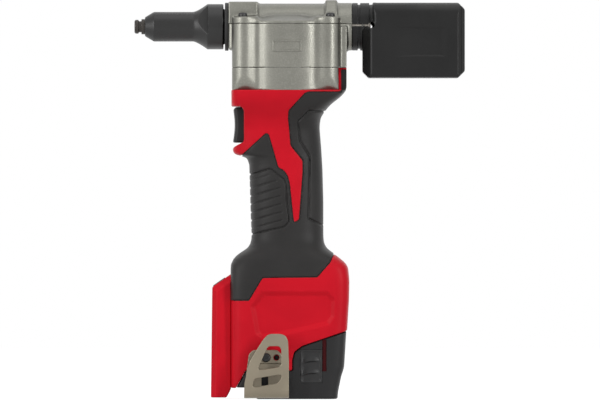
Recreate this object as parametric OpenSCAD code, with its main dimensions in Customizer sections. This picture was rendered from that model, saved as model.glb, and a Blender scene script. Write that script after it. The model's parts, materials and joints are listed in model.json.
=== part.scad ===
// Battery rivet tool: pistol housing, cast gear head, pulling nose and mandrel collector.
// +Z up, origin on the standing plane under the drive axis, nose toward -X, belt hook toward -Y.

/* [Housing] */
// Height of the housing deck above the standing plane
housing_h = 226; // [210:1:240]
// Reach of the base in front of the drive axis
base_front = 42.5; // [40:0.5:48]
// Depth of the base behind the battery stem
base_back = 11.1; // [10:0.1:16]
// Side room between the battery stem and the outside of the base
base_side = 10; // [8:0.5:14]
// Height of the straight base above the battery stem
base_head = 4.2; // [3:0.1:12]
// Reach of the grip in front of the drive axis
grip_front = 27.4; // [25:0.1:30]
// Reach of the grip behind the drive axis
grip_rear = 25.6; // [24:0.1:29]
// Half width of the grip
grip_half_w = 20.5; // [20:0.1:24]
// Depth of the switch between the trigger and the motor
switch_len = 7.8; // [7:0.1:11]
// Reach of the housing back at the web of the hand
throat_rear = 22.8; // [22.5:0.1:26]
// Half width at the web of the hand
throat_half_w = 22; // [21.5:0.1:26]
// Reach of the lip under the trigger past the housing front
lip_out = 8.6; // [6:0.1:12]
// Reach of the deck in front of the gear case barrel
deck_lead = 3.8; // [3:0.1:8]
// Reach of the deck behind the gear case barrel
deck_tail = 4.9; // [4:0.1:9]
// Wall of the two housing halves
housing_wall = 3; // [2.6:0.1:3.4]
// Thickness of the soft grip layer
grip_layer = 1.6; // [1.2:0.1:1.8]

/* [Gear head] */
// Height of the lower gear case shell
low_h = 16.3; // [15:0.1:20]
// Height of the middle gear case shell
mid_h = 32.2; // [31:0.1:36]
// Rivet axis below the split under the head casting
split_above_axis = 2; // [1:0.1:3]
// Wall of the round gear case outside its ring gear
case_wall = 6.9; // [6:0.1:9]
// Wall of the gear case at its flat sides
case_side_wall = 4.9; // [4:0.1:7]
// Radius of the four corner bosses
boss_r = 9; // [8:0.1:10]
// Front corner bosses ahead of the drive axis
boss_front = 33; // [31:0.1:34]
// Rear corner bosses behind the drive axis
boss_rear = 31; // [29:0.1:33]
// Corner bosses off the mid-plane
boss_side = 25; // [24:0.1:27]
// Radius of the head tube
tube_r = 17; // [16:0.1:18]
// Front face of the head casting ahead of the gear case barrel
head_lead = 5.5; // [5:0.1:8]
// Rear face of the head casting behind the gear case barrel
head_tail = 8.9; // [7:0.1:14]

/* [Nose] */
// Length of the nose sleeve
sleeve_len = 56.8; // [54:0.1:64]
// Radius of the slim part of the nose sleeve
sleeve_r = 10.85; // [10.5:0.05:12]
// Radius of the thick rear of the nose sleeve
sleeve_rear_r = 16.6; // [15.5:0.1:17.5]
// Length of the nosepiece outside the sleeve
nosepiece_len = 8.4; // [7.5:0.1:12]
// Radius of the nosepiece bore
nosepiece_bore_r = 1.65; // [1.2:0.05:2.4]
// Stroke of the pull rod
stroke = 20; // [18:0.5:20.5]

/* [Collector] */
// Length of the collector from the head casting to its end
collector_len = 82.8; // [78:0.2:100]
// Height of the collector box
collector_h = 55; // [50:0.5:60]
// Half width of the collector box
collector_half_w = 24; // [22:0.5:28]
// Radius of the collector neck
neck_r = 17.4; // [17:0.1:18]
// Wall of the collector
collector_wall = 2; // [1.6:0.1:2.2]

/* [Battery] */
// Reach of the battery stem ahead of the drive axis
stem_front = 7; // [6:0.5:9]
// Length of a battery cell
cell_len = 65; // [60:0.5:66]
// Radius of a battery cell
cell_r = 9.1; // [8.8:0.05:9.2]

/* [Belt hook] */
// Height of the belt hook
hook_h = 47; // [42:0.5:52]
// Gap of the belt hook
hook_gap = 8; // [6:0.5:12]
// Thickness of the belt hook plate
hook_plate = 2; // [1.6:0.1:2.6]

/* [Drive] */
// Gear module of the two fast stages
fast_module = 0.8; // [0.78:0.01:0.82]
// Gear module of the slow stage
slow_module = 1.25; // [1.22:0.01:1.28]
// Radius of the motor can
motor_r = 14.2; // [13.5:0.1:15]
// Length of the motor can
motor_len = 50; // [46:0.5:54]
// Width of the trigger
trigger_w = 18; // [16:0.5:20]
// Travel of the trigger
trigger_travel = 5; // [4:0.25:5.5]
// Reach of the trigger past the housing front
trigger_out = 8; // [7:0.1:10]

/* [Hidden] */

$fn = 64;
// Overrun of every cut
over = 1;
// Gap between flat pieces that lie close
seat_gap = 0.1;
// Gap between pieces that move past each other
move_gap = 0.4;
// Radial play of a running fit
run_play = 0.05;
// Room left round a piece in its pocket
pocket_play = 0.3;

// Ring gears and the case round them
tooth_root_share = 1.15;
fast_teeth = [12, 18, 48];
slow_teeth = [12, 15, 42];
fast_ring_wall = 2.1;
slow_ring_wall = 3.3125;
fast_root_r = fast_module * (fast_teeth[2] / 2 + tooth_root_share);
slow_root_r = slow_module * (slow_teeth[2] / 2 + tooth_root_share);
fast_ring_r = fast_root_r + fast_ring_wall;
slow_ring_r = slow_root_r + slow_ring_wall;
cavity_r = slow_ring_r + seat_gap;
barrel_r = cavity_r + case_wall;
case_half_w = cavity_r + case_side_wall;

// Battery stem round its three cells
stem_floor = 8;
stem_base_gap = 0.1;
stem_wall = 1.8;
stem_cell_low = stem_floor + stem_wall + stem_base_gap;
stem_cell_gap = 1;
stem_lid = 6;
stem_top = stem_cell_low + cell_len + stem_cell_gap + stem_lid;
stem_corner_r = 6;
stem_play = 0.5;
cell_gap = 0.3;
cell_side_gap = 1;
stem_rear_room = 2.4;
cell_side = cell_r + cell_gap / 2;
cell_row = sqrt(pow(2 * cell_side, 2) - pow(cell_side, 2));
stem_half_w = 2 * cell_r + cell_side_gap + stem_wall;
stem_rear = 2 * stem_wall + cell_gap + 2 * cell_r + cell_row + stem_rear_room - stem_front;

// Reaches that follow what the housing holds
base_rear = stem_rear + base_back;
base_half_w = stem_half_w + base_side;
base_h = stem_top + base_head;
trigger_inset = 2.28;
switch_back = motor_r + pocket_play + seat_gap;
switch_front = switch_back + switch_len;
slot_back = switch_front + 2 * move_gap;
// Gear case tube that drops through the deck, behind the trigger
tube_wall = 2;
drop_tube_r = fast_ring_r + seat_gap + tube_wall;
trigger_back = max(slot_back, drop_tube_r) + trigger_travel + 2 * move_gap;
throat_front = trigger_back + trigger_inset;
trigger_reach = throat_front + trigger_out;
lip_front = throat_front + lip_out;
deck_front = barrel_r + deck_lead;
deck_rear = barrel_r + deck_tail;
deck_half_w = case_half_w;
head_front = barrel_r + head_lead;
head_rear = barrel_r + head_tail;

// Heights of the gear head
case_z = housing_h;
mid_z = case_z + low_h;
split_z = mid_z + mid_h;
axis_z = split_z - split_above_axis;

// Two halves of a plan or a rounded block
module mirror_y() {
    children();
    mirror([0, 1, 0]) children();
}

// Turned shape along X, as points of radius and X, about the rivet axis
module turned_x(points) {
    translate([0, 0, axis_z])
        rotate([0, 90, 0])
            rotate_extrude()
                polygon(points);
}

// Round bar along X on the rivet axis
module bar_x(r, x0, x1) {
    translate([x0, 0, axis_z])
        rotate([0, 90, 0])
            cylinder(r = r, h = x1 - x0);
}

// Block between two corners, centred on the mid-plane
module slab(x0, x1, half_w, z0, z1) {
    translate([x0, -half_w, z0])
        cube([x1 - x0, 2 * half_w, z1 - z0]);
}

// Upright disc or tube on a Z axis
module post(r, z0, z1) {
    translate([0, 0, z0])
        cylinder(r = r, h = z1 - z0);
}

// Upright block with round vertical edges
module round_block(x0, x1, half_w, z0, z1, r) {
    slab(x0 + r, x1 - r, half_w, z0, z1);
    slab(x0, x1, half_w - r, z0, z1);
    for (x = [x0 + r, x1 - r])
        for (y = [r - half_w, half_w - r])
            translate([x, y, 0])
                post(r, z0, z1);
}

// Outline in X and Z, given through Y from y0 to y1
module side_plate(points, y0, y1) {
    translate([0, y1, 0])
        rotate([90, 0, 0])
            linear_extrude(height = y1 - y0)
                polygon(points);
}

// Wire coil as one swept tube: coil radius, wire radius, length and turns
module coil(coil_r, wire_r, len, turns) {
    sides = 6;
    per_turn = 8;
    steps = turns * per_turn;
    rise = len - 2 * wire_r;
    pts = [for (i = [0 : steps])
        for (k = [0 : sides - 1])
            let (turn = 360 * i / per_turn,
                side = 360 * k / sides,
                r = coil_r + wire_r * cos(side))
            [r * cos(turn), r * sin(turn), wire_r + rise * i / steps + wire_r * sin(side)]];
    quads = [for (i = [0 : steps - 1])
        for (k = [0 : sides - 1])
            let (a = i * sides + k, b = i * sides + (k + 1) % sides)
            [[a, a + sides, b + sides], [a, b + sides, b]]];
    tris = [for (q = quads) for (t = q) t];
    first = [for (k = [1 : sides - 2]) [0, k, k + 1]];
    last_at = steps * sides;
    last = [for (k = [1 : sides - 2]) [last_at, last_at + k + 1, last_at + k]];
    polyhedron(points = pts, faces = concat(tris, first, last));
}

// Gear teeth
pressure_angle = 20;
tooth_top_share = 0.9;
tooth_back_share = 0.2;
function inv_angle(a) = tan(a) * 180 / PI - a;
function flank_half(z, m, r, back) =
    90 / z - back / (m * z) * 180 / PI
    + inv_angle(pressure_angle)
    - inv_angle(acos(min(1, m * z / 2 * cos(pressure_angle) / r)));
function tooth_radii(z, m, top, root) =
    let (rb = m * z / 2 * cos(pressure_angle),
        rt = m * z / 2 + top * m,
        rr = m * z / 2 - root * m,
        r0 = max(rb, rr))
    concat(rr < rb ? [rr] : [], [for (i = [0 : 2]) r0 + (rt - r0) * i / 2]);
function gear_points(z, m, top, root, back) =
    let (radii = tooth_radii(z, m, top, root), last = len(radii) - 1)
    [for (k = [0 : z - 1])
        for (j = [0 : 2 * last + 1])
            let (i = j <= last ? j : 2 * last + 1 - j,
                r = radii[i],
                h = flank_half(z, m, max(r, m * z / 2 * cos(pressure_angle)), back),
                a = 360 * k / z + (j <= last ? -h : h))
            [r * cos(a), r * sin(a)]];
module gear(z, m, z0, z1, turn) {
    translate([0, 0, z0])
        rotate([0, 0, turn])
            linear_extrude(height = z1 - z0)
                polygon(gear_points(z, m, tooth_top_share, tooth_root_share, tooth_back_share * m));
}
module ring_teeth_cut(z, m, z0, z1, turn) {
    translate([0, 0, z0])
        rotate([0, 0, turn])
            linear_extrude(height = z1 - z0)
                polygon(gear_points(z, m, tooth_root_share, tooth_top_share, -tooth_back_share * m));
}

// Housing form: named sections, blended row by row up the handle
foot_tuck = 8.7;
foot_side_tuck = 2.5;
foot_rear = base_rear - foot_tuck;
foot_half_w = base_half_w - foot_side_tuck;
lip_rear = 24;
lip_half_w = 20.7;
base_power = 7;
grip_power = 2.6;
throat_power = 2.8;
deck_power = 5;
sections = [
    [base_front, foot_rear, foot_half_w, base_power],
    [base_front, base_rear, base_half_w, base_power],
    [grip_front, grip_rear, grip_half_w, grip_power],
    [lip_front, lip_rear, lip_half_w, grip_power],
    [throat_front, throat_rear, throat_half_w, throat_power],
    [deck_front, deck_rear, deck_half_w, deck_power]];
// Rows: height share, lower section, upper section, blends of front, rear and width
row_shares = [
    [0, 0, 1, 0, 0, 0],
    [0.073, 0, 1, 0, 0.36, 0.3],
    [0.1, 0, 1, 0, 0.58, 0.42],
    [0.15, 0, 1, 0, 0.64, 0.6],
    [0.221, 0, 1, 0, 0.78, 0.8],
    [0.319, 0, 1, 0, 0.96, 0.96],
    [0.381, 1, 2, 0, 0, 0],
    [0.42, 1, 2, 0, 0.06, 0.08],
    [0.435, 1, 2, 0.03, 0.14, 0.15],
    [0.447, 1, 2, 0.1, 0.265, 0.24],
    [0.465, 1, 2, 0.31, 0.43, 0.43],
    [0.475, 1, 2, 0.52, 0.64, 0.58],
    [0.485, 1, 2, 0.72, 0.825, 0.72],
    [0.495, 1, 2, 0.86, 0.92, 0.83],
    [0.506, 1, 2, 0.95, 0.98, 0.92],
    [0.531, 2, 3, 0, 0, 0],
    [0.642, 2, 3, 0.01, 0, 0],
    [0.743, 2, 3, 0.06, 0.38, 0],
    [0.773, 2, 3, 0.19, 0.5, 0],
    [0.783, 2, 3, 0.42, 0.55, 0.2],
    [0.79, 2, 3, 0.62, 0.6, 0.4],
    [0.803, 2, 3, 0.94, 0.8, 0.8],
    [0.814, 3, 4, 0, 0, 0],
    [0.823, 3, 4, 0.1, 0.3, 0.1],
    [0.828, 3, 4, 0.35, 0.35, 0.2],
    [0.831, 3, 4, 1, 0.4, 0.25],
    [0.88, 4, 5, 0, 0, 0],
    [0.912, 4, 5, 0, 0.045, 0.21],
    [0.938, 4, 5, 0, 0.25, 0.5],
    [0.947, 4, 5, 0, 0.34, 0.57],
    [0.9485, 4, 5, 0.8, 0.35, 0.58],
    [0.956, 4, 5, 1, 0.43, 0.7],
    [0.978, 4, 5, 1, 0.757, 0.9],
    [1, 4, 5, 1, 1, 1]];
base_rows = 7;
hood_row = 29;
function mix(a, b, t) = a + (b - a) * t;
// Height of a share: the base follows the battery, the handle takes the rest
base_share = 0.381;
function up(share) =
    share < base_share ? base_h * share / base_share
    : mix(base_h, housing_h, (share - base_share) / (1 - base_share));
row_z = [for (r = row_shares) up(r[0])];
function row_of(r) =
    let (a = sections[r[1]], b = sections[r[2]])
    [up(r[0]), mix(a[0], b[0], r[3]), mix(a[1], b[1], r[4]), mix(a[2], b[2], r[5]),
        mix(a[3], b[3], r[5])];
rows = [for (r = row_shares) row_of(r)];
// Hollow rows leave the lip and the hood solid in front
hollow_rows = [for (i = [0 : len(rows) - 1])
    let (r = rows[i])
    [r[0], i < base_rows + 8 ? r[1] : min(r[1], throat_front), r[2], r[3], r[4]]];
loft_sides = 24;
function bent(v, p) = sign(v) * pow(abs(v), p);
function row_ring(r, inset) =
    [for (i = [0 : loft_sides - 1])
        let (t = 360 * (i + 0.5) / loft_sides,
            a = (r[1] + r[2]) / 2 - inset,
            b = r[3] - inset,
            mid = (r[2] - r[1]) / 2)
        [mid + a * bent(cos(t), 2 / r[4]), b * bent(sin(t), 2 / r[4]), r[0]]];
module loft_slice(low, high, inset) {
    n = loft_sides;
    hull()
        polyhedron(
            points = concat(row_ring(low, inset), row_ring(high, inset)),
            faces = concat(
                [[for (i = [0 : n - 1]) i]],
                [[for (i = [0 : n - 1]) 2 * n - 1 - i]],
                [for (i = [0 : n - 1]) [i, i + n, (i + 1) % n + n]],
                [for (i = [0 : n - 1]) [i, (i + 1) % n + n, (i + 1) % n]]));
}
module loft(list, first, last, inset) {
    for (i = [first : last - 1])
        loft_slice(list[i], list[i + 1], inset);
}
// Half width of the housing side at a place in X and Z
function lookup_row(z, k) = lookup(z, [for (r = rows) [r[0], r[k]]]);
function side_at(x, z) =
    let (front = lookup_row(z, 1), rear = lookup_row(z, 2), w = lookup_row(z, 3), p = lookup_row(z, 4),
        a = (front + rear) / 2, u = abs(x - (rear - front) / 2) / a)
    w * pow(max(0, 1 - pow(min(u, 1), p)), 1 / p);

// Outlines on the handle side, as shares of the reach to the front or rear and of the height
deck_from_share = 0.9;
function reach_at(s) =
    s[0] < 0 ? s[0] * base_front
    : s[1] > deck_from_share ? s[0] * deck_rear
    : s[0] * base_rear;
function on_side(list) = [for (s = list) [reach_at(s), up(s[1])]];

// Base and battery opening
base_bottom = 8;
toe_front = 38.1;
toe_back = 30.8;
toe_top = 21;
base_floor = toe_top + housing_wall;
rim_rear_z = 50.5;
rim_mid_x = 10.5;
rim_mid_z = 39;
rim_low_x = 4.5;
rim_low_z = 34.5;
rim_front_x = 3;
rim_end_z = 28;
rim_gap = 0.6;
rear_clear = 2 * base_rear;
function rim_outline(d) = [
    [rear_clear, -over],
    [rear_clear, rim_rear_z + (rim_rear_z - rim_mid_z) - d],
    [base_rear, rim_rear_z - d],
    [rim_mid_x + d, rim_mid_z - d],
    [rim_low_x + d, rim_low_z - d],
    [rim_front_x + d, rim_end_z - d],
    [rim_front_x + d, -over]];
// Toe of the battery, which runs forward under the base
function toe_outline(d, rear) = [
    [d - toe_front, -over],
    [d - toe_front, base_bottom - d],
    [d - toe_back, toe_top - d],
    [rear, toe_top - d],
    [rear, -over]];
pack_lead = 3;
pack_side = 5;
pack_front = stem_front + pack_lead;
pack_half_w = stem_half_w + pack_side;
pack_top = 33;

// Two-halves split
module side_half(sign) {
    far_w = 2 * deck_half_w;
    intersection() {
        children();
        translate([-rear_clear, sign < 0 ? -far_w : seat_gap / 2, -over])
            cube([2 * rear_clear, far_w - seat_gap / 2, 2 * housing_h]);
    }
}

// Soft grip outline: rear field, base corner and front field with the red strip left between
grip_outline_shares = [
    [0.95, 1.0], [1.3, 1.0], [1.3, 0.475], [0.74, 0.469], [0.69, 0.443], [0.48, 0.396],
    [-0.44, 0.393], [-0.673, 0.32], [-1.3, 0.32], [-1.3, 0.774], [-0.81, 0.787],
    [-0.38, 0.86], [-0.336, 0.857], [-0.172, 0.75], [-0.069, 0.738], [-0.009, 0.722],
    [0.025, 0.696], [0.09, 0.573], [0.098, 0.568], [0.189, 0.581], [0.247, 0.735],
    [0.247, 0.772], [0.049, 0.821], [0.008, 0.91], [0.017, 0.933], [0.308, 0.993]];
grip_proud = 0.3;

// Panel pressed into the side of the base
panel_shares = [[-0.44, 0.349], [0.65, 0.349], [0.77, 0.323], [0.77, 0.264], [0.67, 0.238],
    [-0.07, 0.206], [-0.44, 0.193], [-0.55, 0.209], [-0.65, 0.3]];
panel_depth = 1.2;

// Trigger slot
trigger_low = lookup(0.831, [for (i = [0 : len(row_shares) - 1]) [row_shares[i][0], row_z[i]]]);
trigger_high = row_z[hood_row];
trigger_gap = 0.4;
trigger_curve = 1.2;
plunger_r = 2.8;
plunger_in = 1.4;

// Screws of the housing halves: X share and height share
boss_shares = [[-0.79, 0.972], [-0.43, 0.655], [0.27, 0.56], [-0.72, 0.428], [0.74, 0.415]];
housing_boss_r = 3.6;
screw_r = 1.5;
screw_hole_play = 0.15;
screw_head_r = 2.8;
screw_head_h = 2.2;
screw_seat_depth = 3;
screw_end_gap = 6;
function boss_x(s) = s[0] < 0 ? s[0] * base_front : s[0] * base_rear;
function boss_y(s) = side_at(boss_x(s), up(s[1]));

// Holes of the housing screws, driven from +Y
module screw_cuts() {
    for (s = boss_shares)
        translate([boss_x(s), 0, up(s[1])])
            rotate([-90, 0, 0]) {
                translate([0, 0, screw_end_gap - boss_y(s)])
                    cylinder(r = screw_r + screw_hole_play, h = 2 * boss_y(s));
                translate([0, 0, boss_y(s) - screw_seat_depth])
                    cylinder(r = screw_head_r + pocket_play, h = deck_half_w);
            }
}
module on_bosses() {
    for (s = boss_shares)
        translate([boss_x(s), 0, up(s[1])])
            rotate([-90, 0, 0])
                children();
}

// Hole in the deck for the gear case tube
deck_hole_r = drop_tube_r + pocket_play;

// Gear stack heights, downward from the yoke
gear_gap = 0.35;
stage_a_h = 6;
stage_b_h = 6.8;
stage_c_h = 8.7;
carrier_a_h = 2.2;
carrier_b_h = 2.8;
crank_h = 5;
stack_drop = 12.5;
tube_floor = 2.5;
tube_floor_z = case_z - stack_drop;
stage_a_z = tube_floor_z + tube_floor + 3 * gear_gap;
stage_a_top = stage_a_z + stage_a_h;
carrier_a_z = stage_a_top + gear_gap;
carrier_a_top = carrier_a_z + carrier_a_h;
stage_b_z = carrier_a_top + gear_gap;
stage_b_top = stage_b_z + stage_b_h;
carrier_b_z = stage_b_top + gear_gap;
carrier_b_top = carrier_b_z + carrier_b_h;
stage_c_z = carrier_b_top + gear_gap;
stage_c_top = stage_c_z + stage_c_h;
crank_z = stage_c_top + gear_gap;
crank_top = crank_z + crank_h;
fast_pin_r = 1.5;
slow_pin_r = 2.5;
fast_orbit = fast_module * (fast_teeth[0] + fast_teeth[1]) / 2;
slow_orbit = slow_module * (slow_teeth[0] + slow_teeth[1]) / 2;
fast_plate_r = fast_orbit + 2 * fast_pin_r + fast_pin_r / 2;
slow_bore_r = slow_ring_r + seat_gap;
crank_bearing_wall = 5;
crank_r = slow_ring_r - crank_bearing_wall;

// Crank and yoke
crank_swing = 50;
throw = stroke / 2 / sin(crank_swing);
crank_home = 270 - crank_swing;
crank_pin_r = 3;
roller_r = 5.5;
roller_lift = 0.6;
roller_h = 9.5;
roller_z = crank_top + roller_lift;
roller_top = roller_z + roller_h;
yoke_slack = 0.65;
yoke_wall = 4.8;
yoke_end_wall = 2.6;
yoke_gap = 0.6;
yoke_half_x = roller_r + yoke_slack;
yoke_home = -stroke / 2;
yoke_z = crank_top + yoke_gap;
yoke_rise = 9;
yoke_top = axis_z + yoke_rise;
yoke_far = throw + roller_r + yoke_slack;
yoke_near = throw * cos(crank_swing) - roller_r - yoke_slack;
yoke_side = 8.4;
pull_tube_r = 5.5;
mandrel_r = 2.5;

// Nose sizes, X measured forward of the drive axis
sleeve_stand_off = 3.8;
sleeve_rear_x = -(head_front + sleeve_stand_off);
sleeve_front_x = sleeve_rear_x - sleeve_len;
nose_tip_x = sleeve_front_x - nosepiece_len;
cone_len = 6.2;
cone_front_r = 6.4;
flare_rear = 11.3;
flare_len = 10.3;
flare_steps = 6;
spigot_r = 12.8;
spigot_len = 15;
sleeve_bore_r = 8.4;
nose_thread_r = 5;
nose_thread_len = 7;
jaw_bore_front = 8.5;
collar_len = 2.6;
collar_r = 17.6;
collar_gap = 0.1;
jaw_case_r = 7.9;
jaw_case_len = 34;
jaw_case_gap = 0.8;
jaw_case_front = sleeve_front_x + jaw_bore_front + jaw_case_gap;
jaw_case_rear = jaw_case_front + jaw_case_len;
tube_thread_len = 7;
jaw_cone_len = 14;
jaw_mouth_r = 2.9;
jaw_chamber_r = 6.3;
jaw_len = 11;
jaw_lead = 2.8;
jaw_play = 0.35;
jaw_bite_r = 2.05;
jaw_split = 0.75;
jaw_slope = (jaw_chamber_r - jaw_mouth_r) / jaw_cone_len;
pusher_len = 5;
pusher_r = 5.3;
pusher_bore_r = 2.4;
pull_tube_front = jaw_case_rear - tube_thread_len;
pull_tube_short = 7;
pull_tube_rear = head_rear - pull_tube_short;

// Rear spigot and collector
spigot_out = 13.6;
rear_spigot_r = 14.6;
rear_spigot_in = 15;
guide_play = 0.06;
seal_wire_r = 1;
seal_from_head = 8;
seal_x = head_rear + seal_from_head;
neck_bore_r = 15;
collector_rear = head_rear + collector_len;
cap_len = 3.2;
box_from_head = 7.3;
box_front = head_rear + box_from_head;
box_top = axis_z + neck_r;
box_low = box_top - collector_h;

// Knob of a cast block
module plan_outline() {
    intersection() {
        circle(r = barrel_r);
        square([4 * barrel_r, 2 * case_half_w], center = true);
    }
    mirror_y() {
        translate([-boss_front, boss_side])
            circle(r = boss_r);
        translate([boss_rear, boss_side])
            circle(r = boss_r);
    }
    square([boss_front + boss_rear, 2 * boss_side], center = true);
}
module on_case_bosses() {
    mirror_y() {
        translate([-boss_front, boss_side, 0])
            children();
        translate([boss_rear, boss_side, 0])
            children();
    }
}
case_screw_r = 2;
case_screw_play = 0.2;
case_head_r = 3.3;
case_head_h = 3;
head_flange = 5;
front_block_half_w = 18.6;
front_block_top = 18.1;
front_block_len = 21.5;
rear_rib_from = 26.8;
rear_rib_to = 36.6;
rear_rib_top = 19.5;
rear_rib_half_w = 19;
rear_tube_r = 17.4;
rear_web_half_w = 20;
rear_web_z = mid_z + seat_gap;

module nosepiece() {
    color([0.16, 0.16, 0.16])
    difference() {
        turned_x([
            [0, nose_tip_x],
            [nosepiece_tip_r - tip_round, nose_tip_x],
            [nosepiece_tip_r, nose_tip_x + tip_round],
            [nosepiece_tip_r, nose_tip_x + tip_len],
            [nosepiece_neck_r, nose_tip_x + tip_len + tip_round],
            [nosepiece_neck_r, nose_tip_x + neck_end],
            [nosepiece_collar_r, nose_tip_x + neck_end],
            [nosepiece_collar_r, sleeve_front_x - seat_gap],
            [nose_thread_r, sleeve_front_x - seat_gap],
            [nose_thread_r, sleeve_front_x + nose_thread_len],
            [nose_tail_r, sleeve_front_x + nose_thread_len],
            [nose_tail_r, jaw_case_front + jaw_lead - tail_gap],
            [0, jaw_case_front + jaw_lead - tail_gap]]);
        bar_x(nosepiece_bore_r, nose_tip_x - over, jaw_case_front + jaw_lead);
    }
}
nosepiece_tip_r = 5.1;
tip_round = 0.8;
tip_len = 3.3;
neck_end = 4.9;
nosepiece_neck_r = 3.9;
nosepiece_collar_r = 5.6;
nose_tail_r = 2.4;
tail_gap = 0.2;

// Wrench flats of the sleeve
flat_turn = -27;
flat_off = 13.6;
flat_from = 8.6;
flat_len = 11;
module nose_sleeve() {
    flare_end = sleeve_rear_x - flare_rear;
    flare_start = flare_end - flare_len;
    flare = [for (i = [0 : flare_steps])
        let (t = i / flare_steps)
        [sleeve_r + (sleeve_rear_r - sleeve_r) * (1 - cos(90 * t)) , flare_start + flare_len * t]];
    color([0.17, 0.17, 0.17])
    difference() {
        turned_x(concat(
            [[nose_thread_r, sleeve_front_x],
            [cone_front_r, sleeve_front_x],
            [sleeve_r, sleeve_front_x + cone_len]],
            flare,
            [[sleeve_rear_r, sleeve_rear_x],
            [spigot_r, sleeve_rear_x],
            [spigot_r, sleeve_rear_x + spigot_len + collar_len],
            [sleeve_bore_r, sleeve_rear_x + spigot_len + collar_len],
            [sleeve_bore_r, sleeve_front_x + jaw_bore_front],
            [nose_thread_r, sleeve_front_x + jaw_bore_front]]));
        for (turn = [flat_turn, flat_turn + 180])
            translate([flare_end - flat_from, 0, axis_z])
                rotate([turn, 0, 0])
                    translate([0, -2 * sleeve_rear_r - flat_off, -sleeve_rear_r])
                        cube([flat_len, 2 * sleeve_rear_r, 2 * sleeve_rear_r]);
    }
}

module nose_collar() {
    color([0.1, 0.1, 0.1])
    difference() {
        bar_x(collar_r, -head_front - seat_gap - collar_len, -head_front - seat_gap);
        bar_x(spigot_r + collar_gap, -head_front - collar_len - over, -head_front + over);
    }
}

// Cut for the sleeve spigot and the rear spigot, shared by both castings
module axis_cuts() {
    bar_x(spigot_r + seat_gap, -head_front - over, -front_bore_end);
    bar_x(sleeve_bore_r + move_gap, -head_front - over, 0);
    bar_x(rear_spigot_r + seat_gap, head_rear - rear_spigot_in - seat_gap, head_rear + over);
    bar_x(pull_tube_r + 2 * move_gap, 0, head_rear);
}
front_bore_end = -sleeve_rear_x - spigot_len - collar_len - seat_gap;

module head_casting() {
    color([0.55, 0.55, 0.5])
    difference() {
        union() {
            translate([0, 0, split_z])
                linear_extrude(height = head_flange)
                    plan_outline();
            intersection() {
                union() {
                    bar_x(tube_r, -head_front, head_rear);
                    bar_x(rear_tube_r, rear_rib_to, head_rear);
                    slab(-head_front, front_block_len - head_front, front_block_half_w, split_z,
                        axis_z + front_block_top);
                    slab(rear_rib_from, rear_rib_to, rear_rib_half_w, split_z, axis_z + rear_rib_top);
                }
                slab(-2 * head_front, 2 * head_rear, 2 * case_half_w, split_z, 2 * axis_z);
            }
        }
        axis_cuts();
        slab(-yoke_room_x, yoke_room_x, yoke_room_y, split_z - over, yoke_top + move_gap);
        on_case_bosses()
            post(case_screw_r + case_screw_play, split_z - over, split_z + head_flange + over);
    }
}
yoke_room_x = stroke / 2 + yoke_half_x + yoke_wall + 2 * move_gap;
yoke_room_y = yoke_side + move_gap;

module middle_case() {
    color([0.52, 0.52, 0.47])
    difference() {
        union() {
            translate([0, 0, mid_z])
                linear_extrude(height = mid_h - seat_gap)
                    plan_outline();
            intersection() {
                union() {
                    slab(-head_front, -boss_front, front_block_half_w, axis_z - tube_r, split_z - seat_gap);
                    bar_x(rear_tube_r, boss_rear, head_rear);
                    slab(boss_rear, deck_rear, rear_web_half_w, rear_web_z, axis_z);
                }
                slab(-2 * head_front, 2 * head_rear, 2 * case_half_w, 0, split_z - seat_gap);
            }
        }
        post(cavity_r, mid_z - over, split_z + over);
        axis_cuts();
        on_case_bosses()
            post(case_screw_r + case_screw_play, mid_z - over, split_z + over);
    }
}

module lower_case() {
    color([0.5, 0.5, 0.45])
    difference() {
        union() {
            translate([0, 0, case_z])
                linear_extrude(height = low_h - seat_gap)
                    plan_outline();
            post(drop_tube_r, tube_floor_z, case_z + over);
        }
        post(slow_bore_r, carrier_b_z, mid_z + over);
        post(fast_ring_r + seat_gap, tube_floor_z + tube_floor, mid_z);
        post(motor_boss_r + pocket_play, tube_floor_z - over, mid_z);
        on_case_bosses()
            post(case_screw_r, mid_z - screw_bite, mid_z + over);
    }
}
motor_boss_r = 6;
screw_bite_share = 5;
screw_bite = screw_bite_share * case_screw_r;

module case_screws() {
    color([0.62, 0.62, 0.6])
    on_case_bosses() {
        post(case_screw_r - seat_gap, mid_z - screw_bite + seat_gap, split_z + head_flange + case_head_h / 2);
        difference() {
            post(case_head_r, split_z + head_flange + seat_gap, split_z + head_flange + case_head_h);
            translate([0, 0, split_z + head_flange + case_head_h / 2])
                cylinder(r = case_socket_r, h = case_head_h, $fn = 6);
        }
    }
}
case_socket_r = 1.5;

module rear_spigot() {
    color([0.7, 0.7, 0.68])
    difference() {
        turned_x([
            [pull_tube_r + guide_play, head_rear - rear_spigot_in],
            [rear_spigot_r, head_rear - rear_spigot_in],
            [rear_spigot_r, seal_x - seal_wire_r],
            [rear_spigot_r - seal_wire_r, seal_x - seal_wire_r],
            [rear_spigot_r - seal_wire_r, seal_x + seal_wire_r],
            [rear_spigot_r, seal_x + seal_wire_r],
            [rear_spigot_r, head_rear + spigot_out],
            [pull_tube_r + guide_play, head_rear + spigot_out]]);
        bar_x(spigot_hollow_r, head_rear, head_rear + spigot_out + over);
    }
}
spigot_hollow_r = 11;

module spigot_seal() {
    color([0.08, 0.08, 0.08])
    turned_x([
        [rear_spigot_r - seal_wire_r + seat_gap / 2, seal_x - seal_wire_r + seat_gap],
        [neck_bore_r - seat_gap, seal_x - seal_wire_r + seat_gap],
        [neck_bore_r - seat_gap, seal_x + seal_wire_r - seat_gap],
        [rear_spigot_r - seal_wire_r + seat_gap / 2, seal_x + seal_wire_r - seat_gap]]);
}

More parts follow.
